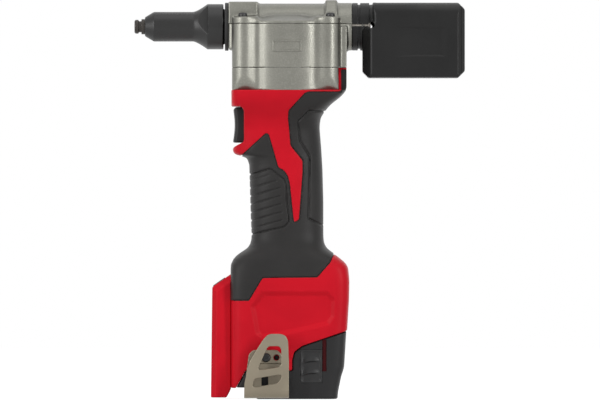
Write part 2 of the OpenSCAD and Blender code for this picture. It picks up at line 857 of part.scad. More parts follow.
// Collector form: three outlines met together
chamfer_low = 4.8;
chamfer_end = 5.2;
box_round = 10;
box_round_steps = 5;
function box_arc(y, z, r, from) = [for (i = [0 : box_round_steps])
    let (turn = from + 90 * i / box_round_steps)
    [y + r * cos(turn), z + r * sin(turn)]];
module box_form(inset, x0, x1) {
    round_r = box_round - inset;
    front = x0 + inset;
    rear = x1 - inset;
    top = box_top - inset;
    low = box_low + inset;
    half_w = collector_half_w - inset;
    intersection() {
        side_plate([[front, top], [rear - chamfer_end, top], [rear, top - chamfer_end],
            [rear, low + chamfer_end], [rear - chamfer_end, low], [front + chamfer_low, low],
            [front, low + chamfer_low]], -half_w, half_w);
        translate([0, 0, low])
            linear_extrude(height = top - low)
                polygon([[front, half_w - chamfer_end], [front + chamfer_end, half_w],
                    [rear - chamfer_end, half_w], [rear, half_w - chamfer_end],
                    [rear, chamfer_end - half_w], [rear - chamfer_end, -half_w],
                    [front + chamfer_end, -half_w], [front, chamfer_end - half_w]]);
        translate([front, 0, 0])
            rotate([90, 0, 90])
                linear_extrude(height = rear - front)
                    polygon(concat([[half_w, low]],
                        box_arc(half_w - round_r, top - round_r, round_r, 0),
                        box_arc(round_r - half_w, top - round_r, round_r, 90), [[-half_w, low]]));
    }
}
groove_depth = 1.2;
neck_ring_a = 4.1;
neck_groove_a = 1.8;
neck_ring_b = 6.6;
neck_groove_b = 2.9;
slit_half = 0.8;
slit_end_x = head_rear + spigot_out;
slit_hole_r = 1.9;
panel_from = 30.1;
panel_to = 71.8;
panel_high_off = 0.6;
panel_low_off = 23;
module collector_bottle() {
    front = head_rear + seat_gap;
    groove_a = head_rear + neck_ring_a;
    groove_a_end = groove_a + neck_groove_a;
    groove_b = groove_a_end + neck_ring_b;
    groove_b_end = groove_b + neck_groove_b;
    color([0.13, 0.13, 0.13])
    difference() {
        union() {
            difference() {
                turned_x([[neck_bore_r, front], [neck_r, front], [neck_r, groove_a],
                    [neck_r - groove_depth, groove_a], [neck_r - groove_depth, groove_a_end],
                    [neck_r, groove_a_end], [neck_r, groove_b], [neck_r - groove_depth, groove_b],
                    [neck_r - groove_depth, groove_b_end], [neck_r, groove_b_end],
                    [neck_r, groove_b_end + collector_wall], [neck_bore_r, groove_b_end + collector_wall]]);
                slab(front - over, slit_end_x, 2 * neck_r, axis_z - slit_half, axis_z + slit_half);
                translate([slit_end_x, 2 * neck_r, axis_z])
                    rotate([90, 0, 0])
                        cylinder(r = slit_hole_r, h = 4 * neck_r);
            }
            difference() {
                box_form(0, box_front, collector_rear);
                difference() {
                    box_form(collector_wall, box_front, collector_rear + cap_len);
                    slab(box_front - over, groove_b_end + collector_wall, 2 * collector_half_w,
                        step_z - collector_wall, box_top + over);
                }
                bar_x(neck_r - seat_gap / 2, box_front - over, groove_b_end);
                bar_x(neck_bore_r, box_front - over, collector_rear - cap_len);
                slab(box_front - over, groove_b_end, 2 * collector_half_w, step_z, box_top + over);
                slab(collector_rear - cap_len, collector_rear + over, 2 * collector_half_w,
                    box_low - over, box_top + over);
                mirror_y()
                    translate([head_rear + panel_from, -collector_half_w - over, axis_z - panel_low_off])
                        cube([panel_to - panel_from, over + box_panel_depth, panel_low_off - panel_high_off]);
            }
        }
    }
}
neck_bury = 1.2;
step_z = axis_z - neck_r + neck_bury;
box_panel_depth = 0.8;

module collector_end_cap() {
    color([0.14, 0.14, 0.14]) {
        difference() {
            box_form(0, box_front, collector_rear);
            slab(0, collector_rear - cap_len + seat_gap, 2 * collector_half_w, box_low - over,
                box_top + over);
        }
        difference() {
            slab(collector_rear - cap_len - cap_lip, collector_rear - cap_len + over,
                collector_half_w - collector_wall - chamfer_end,
                box_low + collector_wall + chamfer_end, box_top - collector_wall - chamfer_end);
            slab(collector_rear - cap_len - cap_lip - over, collector_rear - cap_len + over / 2,
                collector_half_w - 2 * collector_wall - chamfer_end,
                box_low + 2 * collector_wall + chamfer_end, box_top - 2 * collector_wall - chamfer_end);
        }
    }
}
cap_lip = 4;

// Jaw case with its inner cone, screwed on the pull tube
module jaw_case() {
    color([0.6, 0.6, 0.62])
    turned_x([
        [jaw_mouth_r, jaw_case_front],
        [jaw_case_r - jaw_case_edge, jaw_case_front],
        [jaw_case_r, jaw_case_front + jaw_case_edge],
        [jaw_case_r, jaw_case_rear],
        [pull_tube_r + seat_gap / 2, jaw_case_rear],
        [pull_tube_r + seat_gap / 2, pull_tube_front],
        [jaw_chamber_r, pull_tube_front],
        [jaw_chamber_r, jaw_case_front + jaw_cone_len]]);
}
jaw_case_edge = 1;

// One jaw of three, in the cone, with its bite on the axis
module jaw(k) {
    front = jaw_case_front + jaw_lead;
    rear = front + jaw_len;
    far = 4 * jaw_chamber_r;
    color([0.35, 0.35, 0.37])
    intersection() {
        turned_x([
            [jaw_bite_r, front],
            [jaw_mouth_r + jaw_slope * jaw_lead - jaw_play, front],
            [jaw_mouth_r + jaw_slope * (jaw_lead + jaw_len) - jaw_play, rear],
            [jaw_bite_r, rear]]);
        translate([front - over, 0, axis_z])
            rotate([120 * k, 0, 0])
                rotate([90, 0, 90])
                    linear_extrude(height = jaw_len + 2 * over)
                        polygon([[jaw_split, 0], [jaw_split + far * cos(60), far * sin(60)],
                            [2 * far, 0], [jaw_split + far * cos(60), -far * sin(60)]]);
    }
}
module jaw_1() {
    jaw(0);
}
module jaw_2() {
    jaw(1);
}
module jaw_3() {
    jaw(2);
}

pusher_front = jaw_case_front + jaw_lead + jaw_len + tail_gap;
module jaw_pusher() {
    color([0.55, 0.55, 0.58])
    difference() {
        bar_x(pusher_r, pusher_front, pusher_front + pusher_len);
        bar_x(pusher_bore_r, pusher_front - over, pusher_front + pusher_len + over);
    }
}

spring_turns = 5;
spring_wire_r = 0.5;
spring_coil_r = 4.1;
module pusher_spring() {
    from = pusher_front + pusher_len + seat_gap;
    color([0.7, 0.7, 0.72])
    translate([from, 0, axis_z])
        rotate([0, 90, 0])
            coil(spring_coil_r, spring_wire_r, pull_tube_front - seat_gap - from, spring_turns);
}

module pull_tube() {
    color([0.66, 0.66, 0.68])
    difference() {
        bar_x(pull_tube_r, pull_tube_front, pull_tube_rear);
        bar_x(mandrel_r, pull_tube_front - over, pull_tube_rear + over);
    }
}

// Yoke block clamped on the pull tube, with its slot for the crank roller
module yoke() {
    half_x = yoke_half_x + yoke_wall;
    color([0.45, 0.46, 0.48])
    difference() {
        union() {
            slab(yoke_home - half_x, yoke_home + half_x, yoke_side, yoke_z, yoke_top);
            translate([yoke_home - half_x, -yoke_far - yoke_end_wall, yoke_z])
                cube([2 * half_x, yoke_far + yoke_end_wall, roller_top + yoke_gap - yoke_z]);
        }
        translate([yoke_home - yoke_half_x, -yoke_far, yoke_z - over])
            cube([2 * yoke_half_x, yoke_far - yoke_near, roller_top + yoke_gap / 2 - yoke_z + over]);
        bar_x(pull_tube_r + seat_gap / 2, yoke_home - 2 * half_x, yoke_home + 2 * half_x);
    }
}

// Three pins on a carrier
module pins(orbit, r, z0, z1) {
    for (k = [0 : 2])
        rotate([0, 0, 120 * k])
            translate([orbit, 0, 0])
                post(r, z0, z1);
}

module crank() {
    color([0.5, 0.5, 0.53]) {
        post(crank_r - run_play, crank_z, crank_top);
        pins(slow_orbit, slow_pin_r, stage_c_z, crank_z + over);
        rotate([0, 0, crank_home])
            translate([throw, 0, 0])
                post(crank_pin_r, crank_top - over, roller_top);
    }
}

module crank_roller() {
    color([0.72, 0.72, 0.74])
    rotate([0, 0, crank_home])
        translate([throw, 0, 0])
            difference() {
                post(roller_r, roller_z, roller_top);
                post(crank_pin_r + run_play, roller_z - over, roller_top + over);
            }
}

module crank_bearing() {
    color([0.75, 0.6, 0.3])
    difference() {
        post(slow_ring_r, crank_z - gear_gap / 2, crank_top);
        post(crank_r, crank_z - over, crank_top + over);
    }
}

module ring_gear_low() {
    color([0.42, 0.42, 0.45])
    difference() {
        post(fast_ring_r, tube_floor_z + tube_floor, carrier_b_z - seat_gap);
        ring_teeth_cut(fast_teeth[2], fast_module, tube_floor_z, carrier_b_z + over, 180 / fast_teeth[2]);
    }
}

module ring_gear_high() {
    color([0.42, 0.42, 0.45])
    difference() {
        post(slow_ring_r, carrier_b_z + seat_gap, crank_z - gear_gap / 2);
        ring_teeth_cut(slow_teeth[2], slow_module, carrier_b_z, crank_z + over, 0);
    }
}

module carrier_a() {
    color([0.48, 0.48, 0.5]) {
        post(fast_plate_r, carrier_a_z, carrier_a_top);
        pins(fast_orbit, fast_pin_r, stage_a_z, carrier_a_z + carrier_a_h / 2);
        gear(fast_teeth[0], fast_module, carrier_a_top - carrier_a_h / 2, stage_b_top, 0);
    }
}

module carrier_b() {
    color([0.48, 0.48, 0.5]) {
        post(fast_plate_r, carrier_b_z, carrier_b_top);
        pins(fast_orbit, fast_pin_r, stage_b_z, carrier_b_z + carrier_b_h / 2);
        gear(slow_teeth[0], slow_module, carrier_b_top - carrier_b_h / 2, stage_c_top, 0);
    }
}

// Planet gear with its bore, one tooth gap turned to the sun
module planet(teeth, m, orbit, pin_r, z0, z1, k) {
    color([0.6, 0.6, 0.62])
    rotate([0, 0, 120 * k])
        translate([orbit, 0, 0])
            difference() {
                gear(teeth, m, z0, z1, 180 + 180 / teeth);
                post(pin_r + run_play, z0 - over, z1 + over);
            }
}
module planet_a(k) {
    planet(fast_teeth[1], fast_module, fast_orbit, fast_pin_r, stage_a_z, stage_a_top, k);
}
module planet_b(k) {
    planet(fast_teeth[1], fast_module, fast_orbit, fast_pin_r, stage_b_z, stage_b_top, k);
}
module planet_c(k) {
    planet(slow_teeth[1], slow_module, slow_orbit, slow_pin_r, stage_c_z, stage_c_top, k);
}
module planet_a_1() {
    planet_a(0);
}
module planet_a_2() {
    planet_a(1);
}
module planet_a_3() {
    planet_a(2);
}
module planet_b_1() {
    planet_b(0);
}
module planet_b_2() {
    planet_b(1);
}
module planet_b_3() {
    planet_b(2);
}
module planet_c_1() {
    planet_c(0);
}
module planet_c_2() {
    planet_c(1);
}
module planet_c_3() {
    planet_c(2);
}

// Motor
motor_top = tube_floor_z - seat_gap;
motor_low = motor_top - motor_len;
can_wall = 1.2;
shaft_r = 1.6;
bell_h = 5;
bell_hub_r = 5;
bell_hub_h = 3;
magnet_t = 1.9;
magnet_gap = 0.1;
rotor_air = 0.5;
magnet_end = 9;
core_end = 10;
core_slots = 5;
core_slot_w = 2;
core_hub_r = 5;
commutator_r = 4;
commutator_len = 7;
magnet_r = motor_r - can_wall - magnet_gap;
core_r = magnet_r - magnet_t - rotor_air;
module rotor_shaft() {
    color([0.65, 0.65, 0.67]) {
        post(shaft_r, motor_low - bell_h, stage_a_top);
        gear(fast_teeth[0], fast_module, stage_a_z, stage_a_top, 0);
    }
}
module rotor_core() {
    color([0.6, 0.38, 0.2])
    difference() {
        union() {
            difference() {
                post(core_r, motor_low + core_end, motor_top - core_end);
                for (k = [0 : core_slots - 1])
                    rotate([0, 0, 360 * k / core_slots])
                        translate([core_hub_r, -core_slot_w / 2, motor_low])
                            cube([core_r, core_slot_w, motor_len]);
            }
            post(commutator_r, motor_low + core_end - commutator_len, motor_low + core_end);
        }
        post(shaft_r + seat_gap / 2, motor_low, motor_top);
    }
}
module motor_can() {
    color([0.7, 0.7, 0.7])
    difference() {
        union() {
            post(motor_r, motor_low, motor_top);
            post(motor_boss_r, motor_top - over, motor_top + tube_floor);
        }
        post(motor_r - can_wall, motor_low - over, motor_top - 2 * can_wall);
        post(shaft_r + run_play, motor_low, motor_top + 2 * tube_floor);
    }
}
module motor_magnets() {
    color([0.25, 0.25, 0.25])
    for (turn = [0, 180])
        rotate([0, 0, turn])
            translate([0, 0, motor_low + magnet_end])
                rotate([0, 0, 30])
                    rotate_extrude(angle = 120)
                        translate([magnet_r - magnet_t, 0])
                            square([magnet_t, motor_len - 2 * magnet_end]);
}
module motor_end_bell() {
    color([0.12, 0.12, 0.12])
    difference() {
        union() {
            post(motor_r, motor_low - bell_h, motor_low - seat_gap);
            post(bell_hub_r, motor_low - bell_h - bell_hub_h, motor_low);
        }
        post(shaft_r + run_play, motor_low - 2 * bell_h, motor_low + over);
    }
}

// Housing shell, before it is cut in two
shell_facets = 24;
saddle_h = 2;
saddle_low_share = 0.78;
saddle_high_share = 0.915;
well_wall = 2;
core_split = 0.1;
grip_under = grip_layer - grip_proud;
module grip_prism() {
    side_plate(on_side(grip_outline_shares), -2 * deck_half_w, 2 * deck_half_w);
}
module hollow_form(inset) {
    top = rows[len(rows) - 1];
    deck_low = [top[0] - housing_wall, throat_front, top[2], top[3], top[4]];
    loft(hollow_rows, 0, len(rows) - 2, inset);
    loft_slice(hollow_rows[len(rows) - 2], deck_low, inset);
}
module housing_form() {
    difference() {
        loft(rows, 0, len(rows) - 1, 0);
        grip_prism();
    }
    loft(rows, 0, len(rows) - 1, grip_under);
}
module panel_cut(sign) {
    mirror([0, sign < 0 ? 0 : 1, 0])
        hull() {
            side_plate(on_side(panel_shares), -base_half_w - over, -base_half_w);
            side_plate([for (p = on_side(panel_shares)) mix(panel_mid, p, panel_in_share)],
                -base_half_w, panel_depth - base_half_w);
        }
}
panel_in_share = 0.93;
panel_mid_shares = [0.06, 0.275];
panel_mid = [panel_mid_shares[0] * base_rear, up(panel_mid_shares[1])];
module motor_saddles() {
    intersection() {
        loft(hollow_rows, 1, len(rows) - 2, housing_wall - core_split);
        union() {
            for (share = [saddle_low_share, saddle_high_share])
                slab(-rear_clear, rear_clear, rear_clear, up(share), up(share) + saddle_h);
        }
    }
}
module battery_well(grow) {
    round_block(-stem_front - grow, stem_rear + grow, stem_half_w + grow, -over, stem_top + grow,
        stem_corner_r + grow);
}
// Upstand behind the gear case: a thin wall of the housing, backed by the grip layer
upstand_gap = 0.4;
upstand_t = 1.2;
upstand_root = 1.5;
upstand_half_w = 13;
upstand_x = barrel_r + upstand_gap;
module housing_shell() {
    difference() {
        union() {
            difference() {
                housing_form();
                difference() {
                    hollow_form(housing_wall);
                    slab(-rear_clear, rear_clear, rear_clear, -over, base_floor);
                }
            }
            difference() {
                motor_saddles();
                post(motor_r + pocket_play, 0, 2 * housing_h);
            }
            intersection() {
                loft(hollow_rows, 1, len(rows) - 2, housing_wall - core_split);
                union() {
                    on_bosses()
                        translate([0, 0, -2 * deck_half_w])
                            cylinder(r = housing_boss_r, h = 4 * deck_half_w);
                    slab(-stem_front - stem_play - well_wall, stem_rear + stem_play + well_wall,
                        stem_half_w + stem_play + well_wall, base_bottom, stem_top - stem_wall);
                    for (x = [-stem_front, stem_rear - well_wall])
                        slab(x, x + well_wall, rear_clear, base_bottom, stem_top - stem_wall);
                }
            }
            slab(upstand_x, upstand_x + upstand_t, upstand_half_w, housing_h - upstand_root, mid_z);
            hook_boss();
        }
        hook_screw_cut();
        slab(-rear_clear, rear_clear, rear_clear, -over, base_bottom);
        side_plate(toe_outline(0, rear_clear), -2 * deck_half_w, 2 * deck_half_w);
        battery_well(stem_play);
        slab(-pack_front - stem_play, rim_front_x + 2 * over, pack_half_w + stem_play, -over,
            pack_top + stem_play);
        side_plate(rim_outline(0), -2 * deck_half_w, 2 * deck_half_w);
        post(deck_hole_r, motor_top, housing_h + over);
        post(motor_r + pocket_play, motor_low - bell_h - bell_hub_h, motor_top + over);
        slab(-throat_front - over, -slot_back, trigger_w / 2 + trigger_gap, trigger_low, trigger_high);
        slab(-slot_back - over, over - switch_back, switch_half_w + pocket_play,
            switch_low - pocket_play, switch_high + pocket_play);
        panel_cut(-1);
        panel_cut(1);
        screw_cuts();
    }
}
switch_half_w = 8;
switch_foot = 1;
switch_top_gap = 0.4;
switch_low = trigger_low + switch_foot;
switch_high = motor_top - switch_top_gap;

module housing_left() {
    color([0.78, 0.1, 0.15])
    side_half(-1)
        housing_shell($fn = shell_facets);
}
module housing_right() {
    color([0.78, 0.1, 0.15])
    side_half(1)
        housing_shell($fn = shell_facets);
}

// Soft grip layer of one side
module grip_skin() {
    difference() {
        union() {
            difference() {
                intersection() {
                    loft(rows, base_rows - 2, len(rows) - 1, -grip_proud);
                    grip_prism();
                }
                loft(rows, base_rows - 2, len(rows) - 1, grip_under - seat_gap / 2);
            }
            slab(upstand_x + upstand_t + seat_gap, deck_rear, upstand_half_w, housing_h, mid_z);
            slab(deck_rear - grip_layer, deck_rear, upstand_half_w, housing_h - grip_proud, mid_z);
        }
        slab(-2 * throat_front, -slot_back, trigger_w / 2 + trigger_gap, trigger_low, trigger_high);
        screw_cuts();
    }
}
module grip_left() {
    color([0.2, 0.2, 0.2])
    side_half(-1)
        grip_skin($fn = shell_facets);
}
module grip_right() {
    color([0.2, 0.2, 0.2])
    side_half(1)
        grip_skin($fn = shell_facets);
}

module housing_screws() {
    color([0.3, 0.3, 0.3])
    for (s = boss_shares)
        translate([boss_x(s), 0, up(s[1])])
            rotate([-90, 0, 0]) {
                translate([0, 0, screw_end_gap + seat_gap - boss_y(s)])
                    cylinder(r = screw_r,
                        h = 2 * boss_y(s) - screw_end_gap - screw_seat_depth + screw_head_h / 4);
                difference() {
                    translate([0, 0, boss_y(s) - screw_seat_depth + seat_gap])
                        cylinder(r = screw_head_r, h = screw_head_h);
                    translate([0, 0, boss_y(s) - screw_seat_depth + screw_head_h / 2])
                        cylinder(r = screw_socket_r, h = screw_head_h, $fn = 6);
                }
            }
}
screw_socket_r = 1.3;

// Cover in front of the base
cover_depth = 13.8;
cover_half_w = 20;
cover_low = 1;
cover_over = 4.4;
cover_top = base_h + cover_over;
cover_slope = 9.5;
cover_chamfer = 3;
cover_foot = 6.7;
cover_foot_in = 4.4;
cover_wall = 2.4;
cover_back = -base_front - grip_proud - seat_gap;
cover_front = cover_back - cover_depth;
module cover_form(inset) {
    front = cover_front + inset;
    half_w = cover_half_w - inset;
    chamfer = cover_chamfer;
    intersection() {
        side_plate([[cover_back + inset, cover_top - inset], [front, cover_top - cover_slope - inset],
            [front, cover_low + inset], [cover_back - cover_foot_in, cover_low + inset],
            [cover_back + inset, cover_low + cover_foot]], -half_w, half_w);
        translate([0, 0, cover_low - over])
            linear_extrude(height = cover_top)
                polygon([[cover_back + inset, half_w], [front + chamfer, half_w], [front, half_w - chamfer],
                    [front, chamfer - half_w], [front + chamfer, -half_w], [cover_back + inset, -half_w]]);
    }
}
module front_cover() {
    color([0.78, 0.1, 0.15])
    difference() {
        cover_form(0);
        cover_form(cover_wall);
    }
}

// Trigger with its curved face and its plunger
trigger_steps = 8;
trigger_edge = 4;
trigger_foot_gap = 0.4;
module trigger() {
    low = trigger_low + trigger_foot_gap;
    high = trigger_high - trigger_foot_gap;
    face = [for (i = [0 : trigger_steps])
        let (t = i / trigger_steps)
        [-trigger_reach + trigger_curve * sin(180 * t), low + (high - low) * t]];
    color([0.15, 0.15, 0.15])
    union() {
        intersection() {
            side_plate(concat(face, [[-trigger_back, high], [-trigger_back, low]]), -trigger_w, trigger_w);
            round_block(-trigger_reach - over, -trigger_back + trigger_edge, trigger_w / 2, low, high,
                trigger_edge);
        }
        translate([-trigger_back - over, 0, switch_mid])
            rotate([0, 90, 0])
                cylinder(r = plunger_r, h = trigger_back - switch_front + plunger_in + over);
    }
}
switch_mid = (trigger_low + trigger_high) / 2;
spring_pocket_wall = 1;
trigger_wire_r = 0.3;
trigger_coil_r = 1.9;
trigger_turns = 5;
module trigger_spring() {
    from = -switch_front + plunger_in + seat_gap;
    color([0.7, 0.7, 0.72])
    translate([from, 0, switch_mid])
        rotate([0, 90, 0])
            coil(trigger_coil_r, trigger_wire_r, -switch_back - spring_pocket_wall - seat_gap - from,
                trigger_turns);
}
module switch_body() {
    color([0.1, 0.1, 0.1])
    difference() {
        slab(-switch_front, -switch_back, switch_half_w, switch_low, switch_high);
        translate([-switch_front - over, 0, switch_mid])
            rotate([0, 90, 0])
                cylinder(r = plunger_r + move_gap,
                    h = switch_front - switch_back - spring_pocket_wall + over);
    }
}

// Control board on the floor of the base, behind the cover
board_t = 1.6;
board_half_w = stem_half_w;
board_head = 9.1;
board_h = base_h - base_floor - board_head;
board_gap = 2.6;
sink_h = 22;
sink_low = 27;
sink_depth = 8;
sink_half_w = 14;
cap_r = 4;
cap_h = 12;
cap_side = 10;
board_x = -base_front + housing_wall + board_gap;
module control_board() {
    color([0.1, 0.35, 0.2]) {
        slab(board_x, board_x + board_t, board_half_w, base_floor + seat_gap, base_floor + board_h);
        slab(board_x + board_t / 2, board_x + board_t + sink_depth, sink_half_w, base_floor + sink_low,
            base_floor + sink_low + sink_h);
        mirror_y()
            translate([board_x + board_t / 2, cap_side, base_floor + sink_low / 2])
                rotate([0, 90, 0])
                    cylinder(r = cap_r, h = cap_h);
    }
}

// Terminal block over the battery stem, carried by the housing walls
terminal_lift = 1.2;
terminal_h = 6;
terminal_front = 2;
terminal_rear = 22;
terminal_half_w = 14;
terminal_flange_h = 3;
blade_t = 0.8;
blade_w = 6;
blade_in = 4.5;
blade_pitch = 7;
blade_play = 0.5;
module on_blades() {
    for (k = [-1.5 : 1 : 1.5])
        translate([(terminal_front + terminal_rear) / 2, k * blade_pitch, 0])
            children();
}
module terminal_block() {
    low = stem_top + terminal_lift;
    flange_w = lookup_row(low, 3) - housing_wall - pocket_play;
    color([0.12, 0.12, 0.14]) {
        slab(terminal_front, terminal_rear, terminal_half_w, low, low + terminal_h);
        slab(terminal_front, terminal_rear, flange_w, low, low + terminal_flange_h);
        on_blades()
            translate([-blade_w / 2, -blade_t / 2, stem_top - blade_in])
                cube([blade_w, blade_t, blade_in + terminal_lift + over]);
    }
}

// Belt hook: outer plate, bend and inner leg of one bent sheet
hook_from_pack = 6.1;
hook_pitch = 7.7;
hook_leg_x = -pack_front - hook_from_pack;
hook_spare_x = hook_leg_x + hook_pitch;
hook_screw_z = 30.4;
hook_leg_top = 36;
hook_leg_front = 12.5;
hook_leg_w = 24;
hook_leg_cut = 3.2;
hook_leg_from = hook_leg_x - hook_leg_front;
hook_leg_to = hook_leg_from + hook_leg_w;
hook_shares = [[-0.97, 0.03], [-0.96, 0.23], [-0.86, 0.55], [-0.72, 0.72], [-0.56, 0.9], [-0.47, 0.97],
    [-0.39, 1], [-0.15, 1], [-0.06, 0.97], [0, 0.9], [0.02, 0.58], [0.02, 0.03]];
hook_reach = 33;
hook_window_shares = [[-0.46, 0.79], [-0.41, 0.81], [-0.21, 0.81], [-0.16, 0.79], [-0.145, 0.74],
    [-0.145, 0.53], [-0.2, 0.48], [-0.64, 0.44], [-0.66, 0.46], [-0.5, 0.73]];
hook_slot_shares = [[-0.75, 0.29], [-0.72, 0.31], [-0.19, 0.37], [-0.145, 0.37], [-0.14, 0.32], [-0.23, 0.23],
    [-0.41, 0.21], [-0.71, 0.17], [-0.77, 0.17], [-0.78, 0.2]];
function on_hook(list) = [for (s = list) [s[0] * hook_reach, hook_low + s[1] * hook_h]];
hook_low = 0.8;
hook_seat = lookup_row(hook_leg_top, 3) + seat_gap;
hook_bend_r = hook_gap / 2 + hook_plate;
hook_bend_z = hook_low + hook_bend_r;
hook_outer = hook_seat + 2 * hook_plate + hook_gap;
hook_hole_r = 2.2;
module belt_hook() {
    color([0.5, 0.46, 0.4])
    difference() {
        union() {
            difference() {
                side_plate(on_hook(hook_shares), -hook_outer, hook_plate - hook_outer);
                side_plate(on_hook(hook_window_shares), -2 * hook_outer, 0);
                side_plate(on_hook(hook_slot_shares), -2 * hook_outer, 0);
                slab(-2 * hook_reach, 2 * hook_reach, 2 * hook_outer, -over, hook_bend_z);
            }
            intersection() {
                translate([0, -hook_seat - hook_plate - hook_gap / 2, hook_bend_z])
                    rotate([0, 90, 0])
                        difference() {
                            translate([0, 0, -hook_reach])
                                cylinder(r = hook_bend_r, h = hook_reach);
                            translate([0, 0, -2 * hook_reach])
                                cylinder(r = hook_gap / 2, h = 4 * hook_reach);
                        }
                slab(-2 * hook_reach, 2 * hook_reach, 2 * hook_outer, -over, hook_bend_z);
            }
            side_plate([[-hook_reach, hook_bend_z], [0, hook_bend_z], [hook_leg_to, hook_screw_z],
                [hook_leg_to, hook_leg_top - hook_leg_cut], [hook_leg_to - hook_leg_cut, hook_leg_top],
                [hook_leg_from + hook_leg_cut, hook_leg_top], [hook_leg_from, hook_leg_top - hook_leg_cut]],
                -hook_seat - hook_plate, -hook_seat);
        }
        for (x = [hook_leg_x, hook_spare_x])
            translate([x, 0, hook_screw_z])
                rotate([90, 0, 0])
                    translate([0, 0, hook_seat - over])
                        cylinder(r = hook_hole_r, h = hook_plate + 2 * over);
    }
}
hook_thread_r = 2;
hook_head_r = 3.4;
hook_head_h = 2.2;
hook_thread_in = 7;
hook_boss_r = 4.4;
hook_socket_r = 1.6;
module hook_screw() {
    color([0.12, 0.12, 0.12])
    translate([hook_leg_x, 0, hook_screw_z])
        rotate([90, 0, 0]) {
            translate([0, 0, hook_seat - hook_thread_in])
                cylinder(r = hook_thread_r, h = hook_thread_in + hook_plate + hook_head_h / 2);
            difference() {
                translate([0, 0, hook_seat + hook_plate + seat_gap])
                    cylinder(r = hook_head_r, h = hook_head_h);
                translate([0, 0, hook_seat + hook_plate + hook_head_h / 2])
                    cylinder(r = hook_socket_r, h = hook_head_h, $fn = 6);
            }
        }
}
module hook_screw_cut() {
    translate([hook_leg_x, 0, hook_screw_z])
        rotate([90, 0, 0])
            translate([0, 0, hook_seat - hook_thread_in - seat_gap])
                cylinder(r = hook_thread_r + seat_gap / 2, h = 2 * hook_thread_in);
}
module hook_boss() {
    translate([hook_leg_x, 0, hook_screw_z])
        rotate([90, 0, 0])
            translate([0, 0, hook_seat - hook_thread_in - hook_plate])
                cylinder(r = hook_boss_r, h = hook_thread_in);
}

// Battery
latch_from = 9;
latch_to = 25;
latch_low = 12;
latch_high = 36;
latch_back = 1.3;
latch_travel = 2.5;
latch_proud = 0.3;
latch_gap = 0.4;
latch_in = stem_half_w + latch_back + latch_travel + latch_gap;
mark_gap = 0.9;
mark_from = latch_to + mark_gap;
mark_w = 2;
mark_low = 20;
mark_high = 42;
mark_depth = 1.2;
toe_lift = 9.5;
module battery_case() {
    back_y = latch_in - latch_travel - latch_gap;
    color([0.13, 0.13, 0.13])
    difference() {
        union() {
            intersection() {
                loft(rows, 0, base_rows, rim_gap);
                union() {
                    side_plate(rim_outline(rim_gap), -2 * deck_half_w, 2 * deck_half_w);
                    side_plate(toe_outline(rim_gap, rim_mid_x), -2 * deck_half_w, 2 * deck_half_w);
                }
                slab(-rear_clear, rear_clear, rear_clear, 0, housing_h);
            }
            slab(-pack_front, rim_front_x + 2 * rim_gap, pack_half_w, 0, pack_top);
        }
        round_block(-stem_front - seat_gap, stem_rear + seat_gap, stem_half_w + seat_gap,
            stem_floor - seat_gap, housing_h, stem_corner_r + seat_gap);
        side_plate([[-toe_front - over, -over], [toe_lift - toe_front, -over], [-toe_front - over, toe_lift + over]],
            -2 * base_half_w, 2 * base_half_w);
        mirror_y() {
            translate([latch_from - latch_gap, -2 * base_half_w, latch_low - latch_gap])
                cube([latch_to - latch_from + 2 * latch_gap, 2 * base_half_w - back_y,
                    latch_high - latch_low + 2 * latch_gap]);
            translate([mark_from, -base_half_w - over, mark_low])
                cube([mark_w, over + mark_depth + base_half_w - lookup_row(mark_low, 3),
                    mark_high - mark_low]);
        }
    }
}
module battery_stem() {
    color([0.15, 0.15, 0.15])
    difference() {
        round_block(-stem_front, stem_rear, stem_half_w, stem_floor, stem_top, stem_corner_r);
        round_block(stem_wall - stem_front, stem_rear - stem_wall, stem_half_w - stem_wall,
            stem_floor + stem_wall, stem_top - stem_lid, stem_corner_r - stem_wall);
        on_blades()
            translate([-blade_w / 2 - blade_play, -blade_t / 2 - blade_play,
                stem_top - blade_in - blade_play])
                cube([blade_w + 2 * blade_play, blade_t + 2 * blade_play, 2 * blade_in]);
    }
}
module battery_cells() {
    near_x = stem_wall - stem_front + cell_gap + cell_r;
    color([0.2, 0.45, 0.6])
    for (c = [[near_x, cell_side], [near_x, -cell_side], [near_x + cell_row, 0]])
        translate([c[0], c[1], 0])
            post(cell_r, stem_cell_low, stem_cell_low + cell_len);
}
module latch() {
    intersection() {
        loft(rows, 0, base_rows - 2, rim_gap - latch_proud);
        translate([latch_from, -2 * base_half_w, latch_low])
            cube([latch_to - latch_from, 2 * base_half_w - latch_in, latch_high - latch_low]);
    }
}
module latch_left() {
    color([0.1, 0.1, 0.1])
    latch();
}
module latch_right() {
    color([0.1, 0.1, 0.1])
    mirror([0, 1, 0])
        latch();
}
latch_coil_r = 3;
latch_wire_r = 0.3;
latch_turns = 3;
module latch_springs() {
    back_y = latch_in - latch_travel - latch_gap;
    color([0.7, 0.7, 0.72])
    mirror_y()
        translate([(latch_from + latch_to) / 2, -back_y - seat_gap, (latch_low + latch_high) / 2])
            rotate([90, 0, 0])
                coil(latch_coil_r, latch_wire_r, latch_in - back_y - 2 * seat_gap, latch_turns);
}

